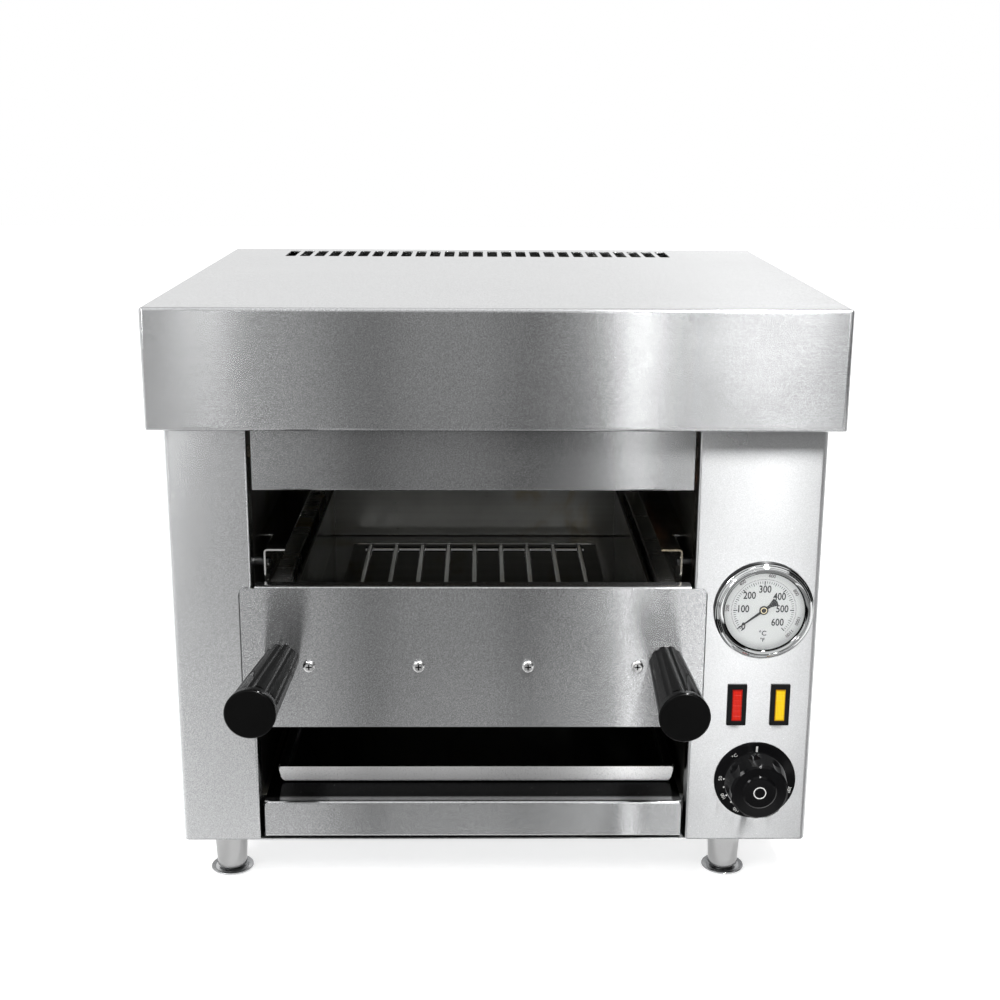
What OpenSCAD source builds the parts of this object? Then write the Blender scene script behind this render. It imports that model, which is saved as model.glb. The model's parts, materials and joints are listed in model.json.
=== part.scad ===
// Countertop cheese melter: a hooded steel body with heating elements in its
// ceiling, a pull-out grilling drawer, a crumb tray and a control column.
// The origin is on the counter, under the middle of the machine; the front is -Y.

/* [Body] */
// Width of the body, without the hood's overhang
body_w = 540; // [500:1:650]
// Depth of the body, without the hood's overhang
body_d = 467; // [430:1:562]
// Height of the body between the feet and the hood
body_h = 365; // [350:1:440]
// Thickness of the body's sheet steel
sheet = 1.2; // [1:0.1:1.5]
// Width of the column left of the opening
left_column_w = 67; // [56:1:81]
// Width of the control column right of the opening
right_column_w = 105; // [98:1:126]
// How deep the columns' front edges turn back into the opening
column_return = 18; // [15:1:22]
// Width of the flanges that the hood and the base are screwed to
flange_w = 18; // [15:1:22]

/* [Hood] */
// Height of the hood
hood_h = 99; // [83:1:119]
// How far the hood stands out past the body all round
hood_overhang = 12; // [8:1:20]
// Number of vent slots
vent_count = 27; // [9:1:29]
// Distance from one vent slot to the next
vent_pitch = 15.1; // [12.6:0.1:15.5]
// Width of a vent slot
vent_w = 10.5; // [9:0.1:11.8]
// Length of a vent slot
vent_len = 57; // [48:1:68]
// Distance from the vent slots to the hood's back face
vent_margin = 25; // [21:1:30]

/* [Feet] */
// Height of the feet
foot_h = 50; // [42:1:60]
// Diameter of a leg where it meets the body
leg_top_d = 31; // [28:1:37]
// Diameter of a leg at its lower end
leg_bottom_d = 26; // [22:1:30]
// Diameter of the disc that stands on the counter
foot_disc_d = 38; // [34:1:45]
// Diameter of the foot's threaded stem
foot_stem_d = 10; // [8:1:12]
// Distance from the left side to the left feet
foot_inset_left = 33; // [30:1:39]
// Distance from the right side to the right feet
foot_inset_right = 63; // [53:1:75]
// Distance from the front and the back to the feet
foot_inset_y = 46; // [38:1:55]

/* [Opening] */
// Height of the panel above the opening
upper_panel_h = 52; // [44:1:62]
// Gap on each side of the panel above the opening
upper_panel_gap = 3.5; // [2:0.5:5]
// Height of the cavity floor above the base
floor_h = 36; // [30:1:43]
// Gap on each side of the apron below the opening
apron_gap = 4; // [2:0.5:5]
// Gap between the apron and the base
apron_lift = 3; // [2:0.5:4]
// Corner radius of the apron
apron_r = 5; // [3:1:6]
// Depth of the duct between the cavity and the back panel
duct_d = 78; // [70:1:93]
// Drop of the reflector below the hood
reflector_drop = 20; // [17:1:24]

/* [Heating] */
// Number of heating elements
element_count = 4; // [2:1:4]
// Diameter of an element's tube
element_d = 8; // [6.5:0.1:9.6]
// Distance between neighbouring element legs
leg_pitch = 42; // [35:1:43]
// Distance from the front to the first element leg
first_leg_y = 46; // [40:1:48]
// Distance from the reflector down to the elements' axes
element_drop = 20; // [17:1:24]
// Thickness of the wool above the reflector
wool_t = 35; // [29:1:42]
// Thickness of the wool beside the control compartment
side_wool_t = 14; // [11:1:15]

/* [Rails] */
// Thickness of the rails and the drawer's runners
rail_t = 1.5; // [1.2:0.1:1.8]
// Height of a rail
rail_h = 33; // [28:1:38]
// Width of a rail's flanges
rail_flange = 17.8; // [15:0.1:19]
// Length of the spacers between a rail and the cavity wall
spacer_len = 9.2; // [7.7:0.1:11]
// Distance from the body's front to a rail's front end
rail_setback = 20; // [17:1:24]
// Distance from a rail's end to its screw
rail_screw_inset = 10; // [8:1:12]
// Length of the rail's front end that has no ledge to the wall
rail_nose = 45; // [38:1:54]

/* [Drawer] */
// Height of the drawer's floor above the base
pan_floor_h = 178; // [170:1:190]
// Height of the drawer's walls above its floor
pan_wall_h = 52; // [44:1:56]
// Depth of the drawer behind its front
pan_d = 337; // [290:1:340]
// Room between a wall of the drawer and the opening's side
pan_room = 37.5; // [36:0.5:62]
// Thickness of the drawer's sheet
pan_t = 1.2; // [1:0.1:1.5]
// Width of the floor's border beside the window
pan_border = 22; // [18:1:26]
// Width of the floor's border behind the window
pan_back_border = 30; // [25:1:36]
// Width of the floor's border in front of the window
pan_front_border = 56; // [47:1:67]
// Corner radius of the window
window_r = 6; // [5:1:8]
// Number of rods in the rack
rod_count = 9; // [5:2:9]
// Diameter of the rack's rods
rod_d = 5.5; // [4.6:0.1:6.6]
// Distance between neighbouring rods
rod_pitch = 27; // [23:0.5:27]
// How far the rods reach under the border
rod_lap = 12; // [10:1:14]
// Width of the runners' flange inside the rails
runner_flange = 14; // [12:0.5:14.5]
// Height of the runners' web
runner_web_h = 26; // [22:1:31]
// Height of the drawer's front plate
drawer_front_h = 123.5; // [103:0.5:126]
// Height of the front plate's lower edge above the base
drawer_front_z = 106.5; // [104:0.5:128]
// Thickness of the front plate
drawer_front_t = 1.5; // [1.2:0.1:2]
// How far the front plate laps over each column
drawer_lap = 11; // [9:1:13]
// Corner radius of the front plate
drawer_front_r = 6; // [4:1:8]
// Gap between the front plate and the columns
drawer_gap = 0.5; // [0.4:0.1:0.8]
// Depth of the front plate's top and bottom returns
drawer_return = 10; // [8:1:12]
// Distance from a wall of the drawer to the outer screw in the front plate
screw_inset = 8.5; // [2.5:0.5:31]
// Drop of those screws below the drawer's floor
screw_drop = 16.5; // [14:0.5:19.5]

/* [Handles] */
// Length of a handle
handle_len = 120; // [100:1:144]
// Diameter of a handle at the front plate
handle_base_d = 29; // [25:0.5:34]
// Diameter of a handle at its free end
handle_tip_d = 40; // [36:0.5:48]
// Distance from the front plate's side to a handle's axis
handle_inset = 32.5; // [25:0.5:45]
// Height of the handles above the drawer's lower edge
handle_rise = 59; // [50:1:70]
// Number of flutes round a handle
flute_count = 10; // [6:1:12]
// Radius of a flute
flute_r = 5; // [4.2:0.1:6]
// Depth of a flute
flute_depth = 1.3; // [1:0.1:1.6]
// Length of the plain collar at a handle's free end
handle_collar = 6; // [5:0.5:8]

/* [Crumb tray] */
// Room between the crumb tray's rim and the opening's side
tray_room = 8.5; // [6.5:0.5:37.5]
// Depth of the crumb tray
tray_d = 334; // [280:1:340]
// Height of the crumb tray
tray_h = 15.6; // [13:0.1:18]
// Distance from the body's front to the tray's lip
tray_setback = 37; // [31:1:42]
// Thickness of the tray's sheet
tray_t = 1; // [0.8:0.1:1.2]
// Radius of the corners of the tray's lip
tray_r = 7; // [6:0.5:8]
// How far each tray wall leans out
tray_flare = 2; // [1:0.5:3]

/* [Thermometer] */
// Distance from the right side to the controls' centre line
control_inset = 47; // [44:1:50]
// Height of the thermometer above the base
gauge_h = 212; // [180:1:250]
// Outside diameter of the thermometer's bezel
gauge_d = 83.5; // [76:0.5:88]
// Diameter of the case behind the panel
gauge_case_d = 73; // [66:0.5:76]
// Depth of the case behind the panel
gauge_case_depth = 30; // [25:1:36]
// How far the bezel stands out
gauge_out = 11; // [10:0.5:13]
// Diameter of the face seen inside the bezel
gauge_face_d = 67; // [56:0.5:70]

/* [Lamps] */
// Height of the lamps above the base
lamp_h = 126.5; // [115:0.5:150]
// Distance between the two lamps
lamp_pitch = 36.7; // [31:0.1:40]
// Width of a lamp's bezel
lamp_w = 16.4; // [14:0.1:19]
// Height of a lamp's bezel
lamp_tall = 37; // [31:0.5:44]
// Rim of the bezel round the lens
lamp_rim = 4.1; // [3.5:0.1:4.9]
// Depth of the lamp's body behind the panel
lamp_depth = 24; // [20:1:29]

/* [Knob] */
// Height of the knob above the base
knob_h = 57.5; // [50:0.5:62]
// Diameter of the knob's skirt
knob_d = 70; // [59:0.5:84]
// Diameter of the knob's grip
grip_d = 53; // [46:0.5:56]
// How far the knob stands out
knob_out = 29; // [25:0.5:34]
// Number of finger hollows round the grip
hollow_count = 8; // [5:1:10]
// Diameter of the thermostat's shaft
shaft_d = 6; // [5:0.5:7]

/* [Rear connections] */
// Height of the cable gland above the base
gland_h = 62; // [50:1:75]
// Diameter of the gland's cable bore
gland_bore_d = 11; // [9:0.5:13]
// How far the gland stands out of the back panel
gland_reach = 25; // [21:1:30]
// Height of the earth stud above the base
earth_h = 118; // [100:1:140]
// Diameter of the earth stud
earth_d = 6; // [5:0.5:7]
// Free length of the earth stud
earth_len = 14; // [12:1:17]

/* [Hidden] */
$fn = 48;

// Colours
steel = [0.78, 0.79, 0.80];
dark_steel = [0.42, 0.43, 0.42];
polished = [0.88, 0.89, 0.90];
wool = [0.93, 0.91, 0.84];
brass = [0.80, 0.66, 0.36];
ceramic = [0.95, 0.94, 0.90];
bakelite = [0.06, 0.06, 0.06];
black_plastic = [0.12, 0.12, 0.12];
glass_colour = [0.85, 0.92, 0.95, 0.35];
dial_white = [0.96, 0.96, 0.95];
lamp_red = [0.85, 0.13, 0.02];
lamp_yellow = [0.96, 0.78, 0.05];

// Gaps and laps
gap = 0.3;           // between parts that move past each other
fit = 0.05;          // radial clearance of a shaft in its bore
hole_gap = 0.4;      // radial clearance of a screw in its hole
weld = 0.3;          // how far sheets of one piece run into each other
bend = 1.8;          // mid-line radius of the body's bends
column_bend = 4;     // mid-line radius of the columns' outer front bends
soft = 2.4;          // mid-line radius of the drawer's and rails' bends
plate_bend = 4;      // mid-line radius of the front plate's top bend
eps = 0.1;           // overshoot of cutting tools
hem = 8;             // depth of a folded hem
hem_gap = 0.6;       // space inside a folded hem
screw_d = 5;         // shank of the front plate's screws
screw_head_d = 10.4;
screw_head_h = 3;
small_screw_d = 4;   // shank of the panels' and rails' screws
small_head_d = 7.5;
small_head_h = 2.4;
nut_h = 4;

// Places worked out from the sizes above
front_reach = drawer_gap + drawer_front_t + handle_len;
rear_reach = max(hood_overhang, gland_reach);
front_y = -(body_d + rear_reach - front_reach) / 2;
mid_x = (left_column_w - right_column_w) / 2;
half_open = (body_w - left_column_w - right_column_w) / 2;
pan_w = 2 * (half_open - pan_room);
screw_pitch = (pan_w - 2 * screw_inset) / 3;
handle_span = 2 * (half_open + drawer_lap - handle_inset);
tray_w = 2 * (half_open - tray_room);
body_top = foot_h + body_h;
floor_z = foot_h + floor_h;
cavity_d = body_d - sheet - duct_d;
wall_x = half_open + sheet;
reflector_z = body_top - reflector_drop;
element_z = reflector_z - element_drop;
control_x = body_w / 2 - control_inset;
pan_floor_z = foot_h + pan_floor_h;
pan_top_z = pan_floor_z + pan_wall_h;

// The body's own frame: y = 0 on the front of the columns
module in_body() translate([0, front_y, 0]) children();
// The same, with x = 0 in the middle of the opening
module in_opening() translate([mid_x, front_y, 0]) children();
// The same, with x and z = 0 on a control's axis
module at_control(height) translate([control_x, front_y, foot_h + height]) children();

// --- Sheet metal -------------------------------------------------------------

function unit(v) = v / norm(v);
function left_of(v) = [-v.y, v.x];
function turned(v, a) = [v.x * cos(a) - v.y * sin(a), v.x * sin(a) + v.y * cos(a)];

// Points along a path with rounded corners, each with the side it faces.
// The radius is one for all corners or a list with one for each
function radius_at(r, i) = is_list(r) ? r[i - 1] : r;
function bent_path(p, radii, steps = 4) = [
  for (i = [0 : len(p) - 1])
    if (i == 0) [p[0], left_of(unit(p[1] - p[0]))]
    else if (i == len(p) - 1) [p[i], left_of(unit(p[i] - p[i - 1]))]
    else
      let (r = radius_at(radii, i),
           u = unit(p[i] - p[i - 1]),
           v = unit(p[i + 1] - p[i]),
           turn = atan2(u.x * v.y - u.y * v.x, u * v),
           side = sign(turn),
           centre = p[i] - u * r * tan(abs(turn) / 2) + left_of(u) * r * side)
      for (k = [0 : steps])
        let (n = turned(left_of(u), turn * k / steps))
        [centre - n * r * side, n]
];

// Outline of a sheet of thickness t whose mid-line follows a path
module bent_sheet(p, t, r) {
  q = bent_path(p, r);
  polygon(concat(
    [for (a = q) a[0] + a[1] * t / 2],
    [for (i = [len(q) - 1 : -1 : 0]) q[i][0] - q[i][1] * t / 2]));
}

// Corner arcs of a rectangle from a to b, with radii for the low and the high corners
function corner(c, r, from, steps = 5) = [
  for (k = [0 : steps]) c + r * [cos(from + 90 * k / steps), sin(from + 90 * k / steps)]
];
function rounded(a, b, low_r, high_r) = concat(
  corner([a.x + low_r, a.y + low_r], low_r, 180),
  corner([b.x - low_r, a.y + low_r], low_r, 270),
  corner([b.x - high_r, b.y - high_r], high_r, 0),
  corner([a.x + high_r, b.y - high_r], high_r, 90));

// A profile drawn in X and Z, extruded back from y = 0
module along_y(length) {
  translate([0, length, 0]) rotate([90, 0, 0]) linear_extrude(length) children();
}
// A profile drawn in Y and Z, extruded both ways from x = 0
module across_x(width) {
  translate([-width / 2, 0, 0]) rotate([90, 0, 90]) linear_extrude(width) children();
}
// The children on the right side, or mirrored to the left one
module flipped(side) mirror([side < 0 ? 1 : 0, 0, 0]) children();
// Round bars that start at the origin
module bar_y(d, length) rotate([-90, 0, 0]) cylinder(d = d, h = length);
module bar_x(d, length) rotate([0, 90, 0]) cylinder(d = d, h = length);
// Clearance holes for a screw or shaft through a sheet of thickness t
module hole_z(d, t) translate([0, 0, -eps]) cylinder(d = d + 2 * hole_gap, h = t + 2 * eps);
module hole_y(d, t) rotate([-90, 0, 0]) hole_z(d, t);
module hole_x(d, t) rotate([0, 90, 0]) hole_z(d, t);

// Fasteners, with the head's seat at the origin and the shank along +Z
module pan_head(d, h) {
  rotate([180, 0, 0]) rotate_extrude()
    polygon(concat([[0, 0], [d / 2, 0]], [for (a = [0 : 15 : 90]) [
      d / 2 * (0.55 + 0.45 * cos(a)), h * (0.35 + 0.65 * sin(a))]], [[0, h]]));
}
module pan_screw(d, head_d, head_h, length) {
  slot_w = head_d / 9;
  slot_l = head_d / 2;
  difference() {
    union() {
      pan_head(head_d, head_h);
      translate([0, 0, -weld]) cylinder(d = d, h = length + weld);
    }
    for (a = [0, 90])
      rotate(a) translate([-slot_l / 2, -slot_w / 2, -head_h - eps]) cube([slot_l, slot_w, head_h * 0.6]);
  }
}
module hex_nut(d, h) {
  difference() {
    cylinder(d = d * 1.85, h = h, $fn = 6);
    translate([0, 0, -eps]) cylinder(r = d / 2 + fit, h = h + 2 * eps);
  }
}

// --- Hood --------------------------------------------------------------------

hood_top_r = 3.4;
hood_low_r = 3.6;
hood_corner_r = 5;
vent_shift = 2.7;    // the slot row lies a little right of the opening's middle
vent_r = 2.5;        // corner radius of a slot
hood_screws = [
  for (x = [-body_w / 2 + flange_w / 2, body_w / 2 - flange_w / 2], y = [60, body_d / 2, body_d - 60]) [x, y]
];

// The hood's outer form, shrunk by t on every side
module hood_form(t) {
  x = body_w / 2 + hood_overhang - t;
  y0 = -hood_overhang + t;
  y1 = body_d + hood_overhang - t;
  z0 = body_top + t;
  z1 = body_top + hood_h - t;
  top_r = hood_top_r - t;
  low_r = hood_low_r - t;
  plan_r = hood_corner_r - t;
  intersection() {
    across_x(2 * x) polygon(rounded([y0, z0], [y1, z1], low_r, top_r));
    translate([0, y0, 0]) along_y(y1 - y0) polygon(rounded([-x, z0], [x, z1], low_r, top_r));
    translate([0, 0, z0]) linear_extrude(z1 - z0) polygon(rounded([-x, y0], [x, y1], plan_r, plan_r));
  }
}

module hood() color(steel) in_body() {
  open_x = body_w / 2 - flange_w;
  slot_y = body_d + hood_overhang - vent_margin - vent_len;
  slot_z = body_top + hood_h - 2 * sheet;
  difference() {
    hood_form(0);
    hood_form(sheet);
    translate([-open_x, flange_w, body_top - eps])
      cube([2 * open_x, body_d - 2 * flange_w, sheet + 2 * eps]);
    for (i = [0 : vent_count - 1])
      translate([mid_x + vent_shift + (i - (vent_count - 1) / 2) * vent_pitch, slot_y, slot_z])
        linear_extrude(3 * sheet)
          polygon(rounded([-vent_w / 2, 0], [vent_w / 2, vent_len], vent_r, vent_r));
    for (s = hood_screws)
      translate([s.x, s.y, body_top]) hole_z(small_screw_d, sheet);
  }
}

// --- Columns -----------------------------------------------------------------

back_screw_z = [foot_h + 30, foot_h + body_h / 2, body_top - 30];
base_screw_y = [70 + foot_inset_y, body_d - 70 - foot_inset_y];

// Inward flange at the top or the bottom of a column of width w
module column_flange(w) {
  s = sheet - weld;
  linear_extrude(sheet) polygon([
    [s, column_bend], [column_bend, s], [w - s, s], [w - s, column_return], [flange_w, column_return],
    [flange_w, body_d - 2 * sheet], [s, body_d - 2 * sheet]]);
}

// A folded column with its outer side at x = 0 and its front at y = 0
module column_shell(w) {
  low = foot_h + sheet;
  h = body_h - sheet;
  difference() {
    union() {
      translate([0, 0, low]) linear_extrude(h) bent_sheet([
        [flange_w, body_d - 1.5 * sheet], [sheet / 2, body_d - 1.5 * sheet], [sheet / 2, sheet / 2],
        [w - sheet / 2, sheet / 2], [w - sheet / 2, column_return]], sheet, [bend, column_bend, bend]);
      translate([0, 0, low]) column_flange(w);
      translate([0, 0, body_top - sheet]) column_flange(w);
    }
    for (z = back_screw_z)
      translate([flange_w / 2 + sheet, body_d - 2 * sheet, z]) hole_y(small_screw_d, sheet);
    for (y = base_screw_y)
      translate([flange_w / 2, y, low]) hole_z(small_screw_d, sheet);
    for (s = hood_screws)
      translate([flange_w / 2, s.y, body_top - sheet]) hole_z(small_screw_d, sheet);
  }
}

module left_column() color(steel) in_body() translate([-body_w / 2, 0, 0]) column_shell(left_column_w);

thermostat_screw_x = 14;
thermostat_neck_d = 9;

module right_column() color(steel) in_body() difference() {
  translate([body_w / 2, 0, 0]) mirror([1, 0, 0]) column_shell(right_column_w);
  translate([control_x, 0, foot_h + gauge_h]) hole_y(gauge_case_d, sheet);
  for (side = [-1, 1])
    translate([control_x + side * lamp_pitch / 2, 0, foot_h + lamp_h])
      lamp_cutout(hole_gap);
  translate([control_x, 0, foot_h + knob_h]) hole_y(thermostat_neck_d, sheet);
  for (side = [-1, 1])
    translate([control_x + side * thermostat_screw_x, 0, foot_h + knob_h]) hole_y(small_screw_d, sheet);
}

// --- Panels of the body ------------------------------------------------------

module upper_front_panel() color(steel) in_opening() {
  low = body_top - upper_panel_h + sheet / 2;
  high = body_top - sheet / 2;
  across_x(2 * (half_open - upper_panel_gap)) bent_sheet([
    [column_return - 4, low], [sheet / 2, low], [sheet / 2, high], [column_return, high]], sheet, bend);
}

// Apron, floor and rear upstand in one folded sheet
module floor_and_apron() color(steel) in_opening() {
  half = half_open - apron_gap;
  low = foot_h + apron_lift + sheet / 2;
  high = floor_z - sheet / 2;
  back = cavity_d - sheet / 2;
  difference() {
    across_x(2 * half) bent_sheet([
      [10, low], [sheet / 2, low], [sheet / 2, high], [back, high], [back, floor_z + 12]], sheet, bend);
    for (side = [-1, 1])
      flipped(side) translate([half - apron_r, -eps, floor_z - apron_r]) difference() {
        cube([apron_r + 1, 2 * sheet + eps, apron_r + 1]);
        translate([0, -eps, 0]) bar_y(2 * apron_r, 3 * sheet);
      }
  }
}

module base_plate() color(steel) in_body() {
  inset = 0.6;
  slot_l = 60;
  difference() {
    translate([0, 0, foot_h]) linear_extrude(sheet) polygon(rounded(
      [-body_w / 2 + inset, inset], [body_w / 2 - inset, body_d - 2 * sheet], column_bend, inset));
    // air intake below the control compartment
    for (i = [-3 : 3])
      translate([control_x - slot_l / 2, body_d / 2 + i * 14, foot_h - eps])
        linear_extrude(sheet + 2 * eps) polygon(rounded([0, 0], [slot_l, 6], 2.9, 2.9));
    for (x = foot_x, y = foot_y)
      translate([x, y, foot_h]) hole_z(foot_stem_d, sheet);
    for (x = [-body_w / 2 + flange_w / 2, body_w / 2 - flange_w / 2], y = base_screw_y)
      translate([x, y, foot_h]) hole_z(small_screw_d, sheet);
  }
}

module back_panel() color(steel) in_body() {
  slot_l = 60;
  difference() {
    translate([-body_w / 2 + 0.4, body_d - sheet, foot_h])
      cube([body_w - 0.8, sheet, body_h - 0.4]);
    // air outlet of the control compartment
    for (i = [0 : 5])
      translate([control_x, body_d - 2 * sheet, body_top - 70 - i * 14]) along_y(3 * sheet)
        polygon(rounded([-slot_l / 2, -3], [slot_l / 2, 3], 2.9, 2.9));
    translate([control_x, body_d - sheet, foot_h + gland_h]) hole_y(gland_thread_d, sheet);
    translate([control_x, body_d - sheet, foot_h + earth_h]) hole_y(earth_d, sheet);
    for (side = [-1, 1], z = back_screw_z)
      translate([side * (body_w / 2 - flange_w / 2 - sheet), body_d - sheet, z]) hole_y(small_screw_d, sheet);
  }
}

// --- Cavity ------------------------------------------------------------------

cavity_flange = 14;

// The left wall; the right one is its mirror image
module cavity_wall() {
  x = -wall_x - sheet / 2;
  start = sheet + bend + gap;
  low = floor_z - 1.5 * sheet;
  high = reflector_z - sheet / 2;
  difference() {
    translate([0, start, 0]) along_y(cavity_d - start) bent_sheet([
      [x + cavity_flange, low], [x, low], [x, high], [x - cavity_flange, high]], sheet, bend);
    for (y = rail_screw_y)
      translate([x - sheet / 2, y, rail_screw_z]) hole_x(small_screw_d, sheet);
    // the bottom flange starts behind the column's return
    translate([-wall_x, 0, floor_z - 3 * sheet]) cube([cavity_flange, column_return + gap, 4 * sheet]);
  }
}

module left_cavity_wall() color(dark_steel) in_opening() cavity_wall();

module right_cavity_wall() color(dark_steel) in_opening() difference() {
  mirror([1, 0, 0]) cavity_wall();
  for (y = leg_y)
    translate([wall_x, y, element_z]) hole_x(bush_d, sheet);
  translate([wall_x, thermostat_probe_y, thermostat_probe_z]) hole_x(capillary_hole_d, sheet);
  translate([wall_x, gauge_probe_y, gauge_probe_z]) hole_x(capillary_hole_d, sheet);
}

module cavity_back_wall() color(dark_steel) in_opening() {
  y = cavity_d + sheet / 2;
  across_x(2 * (wall_x + sheet)) bent_sheet([
    [y, floor_z - 2 * sheet], [y, reflector_z - sheet / 2], [y + cavity_flange, reflector_z - sheet / 2]],
    sheet, bend);
}

reflector_front = column_return + 4;

// Plate on the walls' top flanges, with a lip between the walls at its front
module reflector() color(polished) in_opening() {
  half = wall_x + sheet / 2 + cavity_flange;
  plate_y = reflector_front + bend;
  across_x(2 * (wall_x - gap)) bent_sheet([
    [reflector_front, reflector_z - 9], [reflector_front, reflector_z + sheet / 2],
    [plate_y + 10, reflector_z + sheet / 2]], sheet, bend);
  translate([-half, plate_y, reflector_z]) cube([2 * half, cavity_d + cavity_flange - plate_y, sheet]);
}

module top_insulation() color(wool) in_opening() {
  half = wall_x + cavity_flange - 2;
  y0 = reflector_front + 3;
  translate([-half, y0, reflector_z + sheet + gap]) cube([2 * half, cavity_d + 8 - y0, wool_t]);
}

module control_insulation() color(wool) in_opening() {
  low = floor_z + 12;
  high = thermostat_probe_z - 10;
  difference() {
    translate([wall_x + sheet + gap, reflector_front, low])
      cube([side_wool_t, cavity_d - reflector_front - 6, high - low]);
    for (y = rail_screw_y)
      translate([wall_x, y, rail_screw_z]) bar_x(2 * screw_d + 2, side_wool_t + 3 * sheet);
  }
}

// --- Heating elements --------------------------------------------------------

bush_d = element_d + 3;
pin_d = 3.6;
pin_len = 12;
bead_len = 7;
cold_end = 26;                 // length of tube beyond the wall
hanger_x = [-half_open + 40, 10];
leg_y = [for (i = [0 : 2 * element_count - 1]) first_leg_y + i * leg_pitch];
element_left = -half_open + 16 + leg_pitch / 2;
element_right = wall_x + sheet + cold_end;

// One hairpin: two legs along X joined by a half turn at the left
module element(index) color(dark_steel) in_opening() translate([0, 0, element_z]) {
  y0 = leg_y[2 * index];
  translate([element_left, y0 + leg_pitch / 2, 0])
    rotate(90) rotate_extrude(angle = 180) translate([leg_pitch / 2, 0]) circle(d = element_d);
  for (y = [y0, y0 + leg_pitch]) {
    translate([element_left, y, 0]) bar_x(element_d, element_right - element_left);
    translate([element_right - weld, y, 0]) bar_x(pin_d, pin_len + weld);
  }
}

module front_element() element(0);
module second_element() element(1);
module third_element() element(2);
module rear_element() element(3);

// Angle strips under the reflector that carry the hairpins
module element_hangers() color(dark_steel) in_opening() {
  y0 = reflector_front + 6;
  length = leg_y[len(leg_y) - 1] + 16 - y0;
  for (x = hanger_x) difference() {
    translate([x, y0, 0]) along_y(length) bent_sheet([
      [0, element_z - 10], [0, reflector_z - rail_t / 2], [14, reflector_z - rail_t / 2]], rail_t, bend);
    for (y = leg_y)
      translate([x - rail_t, y, element_z]) bar_x(element_d + 2 * fit, 2 * rail_t);
  }
}

// Hexagonal bushes that hold the legs in the right wall
module element_bushings() color(brass) in_opening() {
  inner = 3;
  outer = 6;
  for (y = leg_y) translate([wall_x, y, element_z]) difference() {
    union() {
      translate([-inner, 0, 0]) bar_x(bush_d, inner + sheet + outer);
      translate([sheet, 0, 0]) rotate([0, 90, 0]) cylinder(d = bush_d + 6, h = outer - 1, $fn = 6);
    }
    translate([-inner - eps, 0, 0]) bar_x(element_d + 2 * fit, inner + sheet + outer + 2 * eps);
  }
}

module terminal_beads() color(ceramic) in_opening() {
  for (y = leg_y) translate([element_right, y, element_z]) difference() {
    bar_x(element_d + 1, bead_len);
    translate([-eps, 0, 0]) bar_x(pin_d + 2 * fit, bead_len + 2 * eps);
  }
}

// --- Rails -------------------------------------------------------------------

rail_x = wall_x - spacer_len;               // outer face of a rail's web
runner_top = pan_top_z - 2.2;
rail_z = runner_top - rail_t - gap - rail_t; // underside of a rail
rail_end = cavity_d - 6;
rail_screw_y = [rail_setback + rail_screw_inset, rail_end - rail_screw_inset];
rail_screw_z = rail_z + rail_h - 13.5;
spacer_d = 8;

// The left rail, a channel open to the middle
module rail() {
  x = -rail_x + rail_t / 2;
  edge = -rail_x + rail_flange;
  low = rail_z + rail_t / 2;
  high = rail_z + rail_h - rail_t / 2;
  ledge_y = rail_setback + rail_nose;
  difference() {
    union() {
      translate([0, rail_setback, 0]) along_y(rail_end - rail_setback)
        bent_sheet([[edge, low], [x, low], [x, high], [edge, high]], rail_t, soft);
      // ledge from the top flange to the cavity wall
      translate([-wall_x, ledge_y, high - rail_t / 2])
        cube([wall_x + x + soft + weld, rail_end - ledge_y, rail_t]);
    }
    for (y = rail_screw_y)
      translate([-rail_x, y, rail_screw_z]) hole_x(small_screw_d, rail_t);
  }
}

module left_rail() color(steel) in_opening() rail();
module right_rail() color(steel) in_opening() mirror([1, 0, 0]) rail();

module rail_spacers() color(polished) in_opening() {
  for (side = [-1, 1], y = rail_screw_y)
    flipped(side) translate([rail_x, y, rail_screw_z]) difference() {
      bar_x(spacer_d, spacer_len);
      translate([-eps, 0, 0]) bar_x(small_screw_d + 2 * fit, spacer_len + 2 * eps);
    }
}

// Screws from inside each rail through the spacers, with nuts behind the cavity walls
module rail_screws() color(polished) in_opening() {
  reach = rail_t + spacer_len + sheet;
  for (side = [-1, 1], y = rail_screw_y)
    flipped(side) translate([rail_x - rail_t, y, rail_screw_z]) rotate([0, 90, 0]) {
      pan_screw(small_screw_d, small_head_d, small_head_h, reach + nut_h + 2);
      translate([0, 0, reach]) hex_nut(small_screw_d, nut_h);
    }
}

// --- Grilling drawer ---------------------------------------------------------

drawer_y = -drawer_gap;                      // back face of the front plate
screw_z = pan_floor_z - screw_drop;
handle_z = foot_h + drawer_front_z + handle_rise;
wall_mid = pan_w / 2 + pan_t / 2;            // mid-line of a drawer wall
front_screws = [for (i = [-1.5, -0.5, 0.5, 1.5]) i * screw_pitch];
window = [pan_w / 2 - pan_border, pan_front_border, pan_d - pan_back_border];

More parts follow.
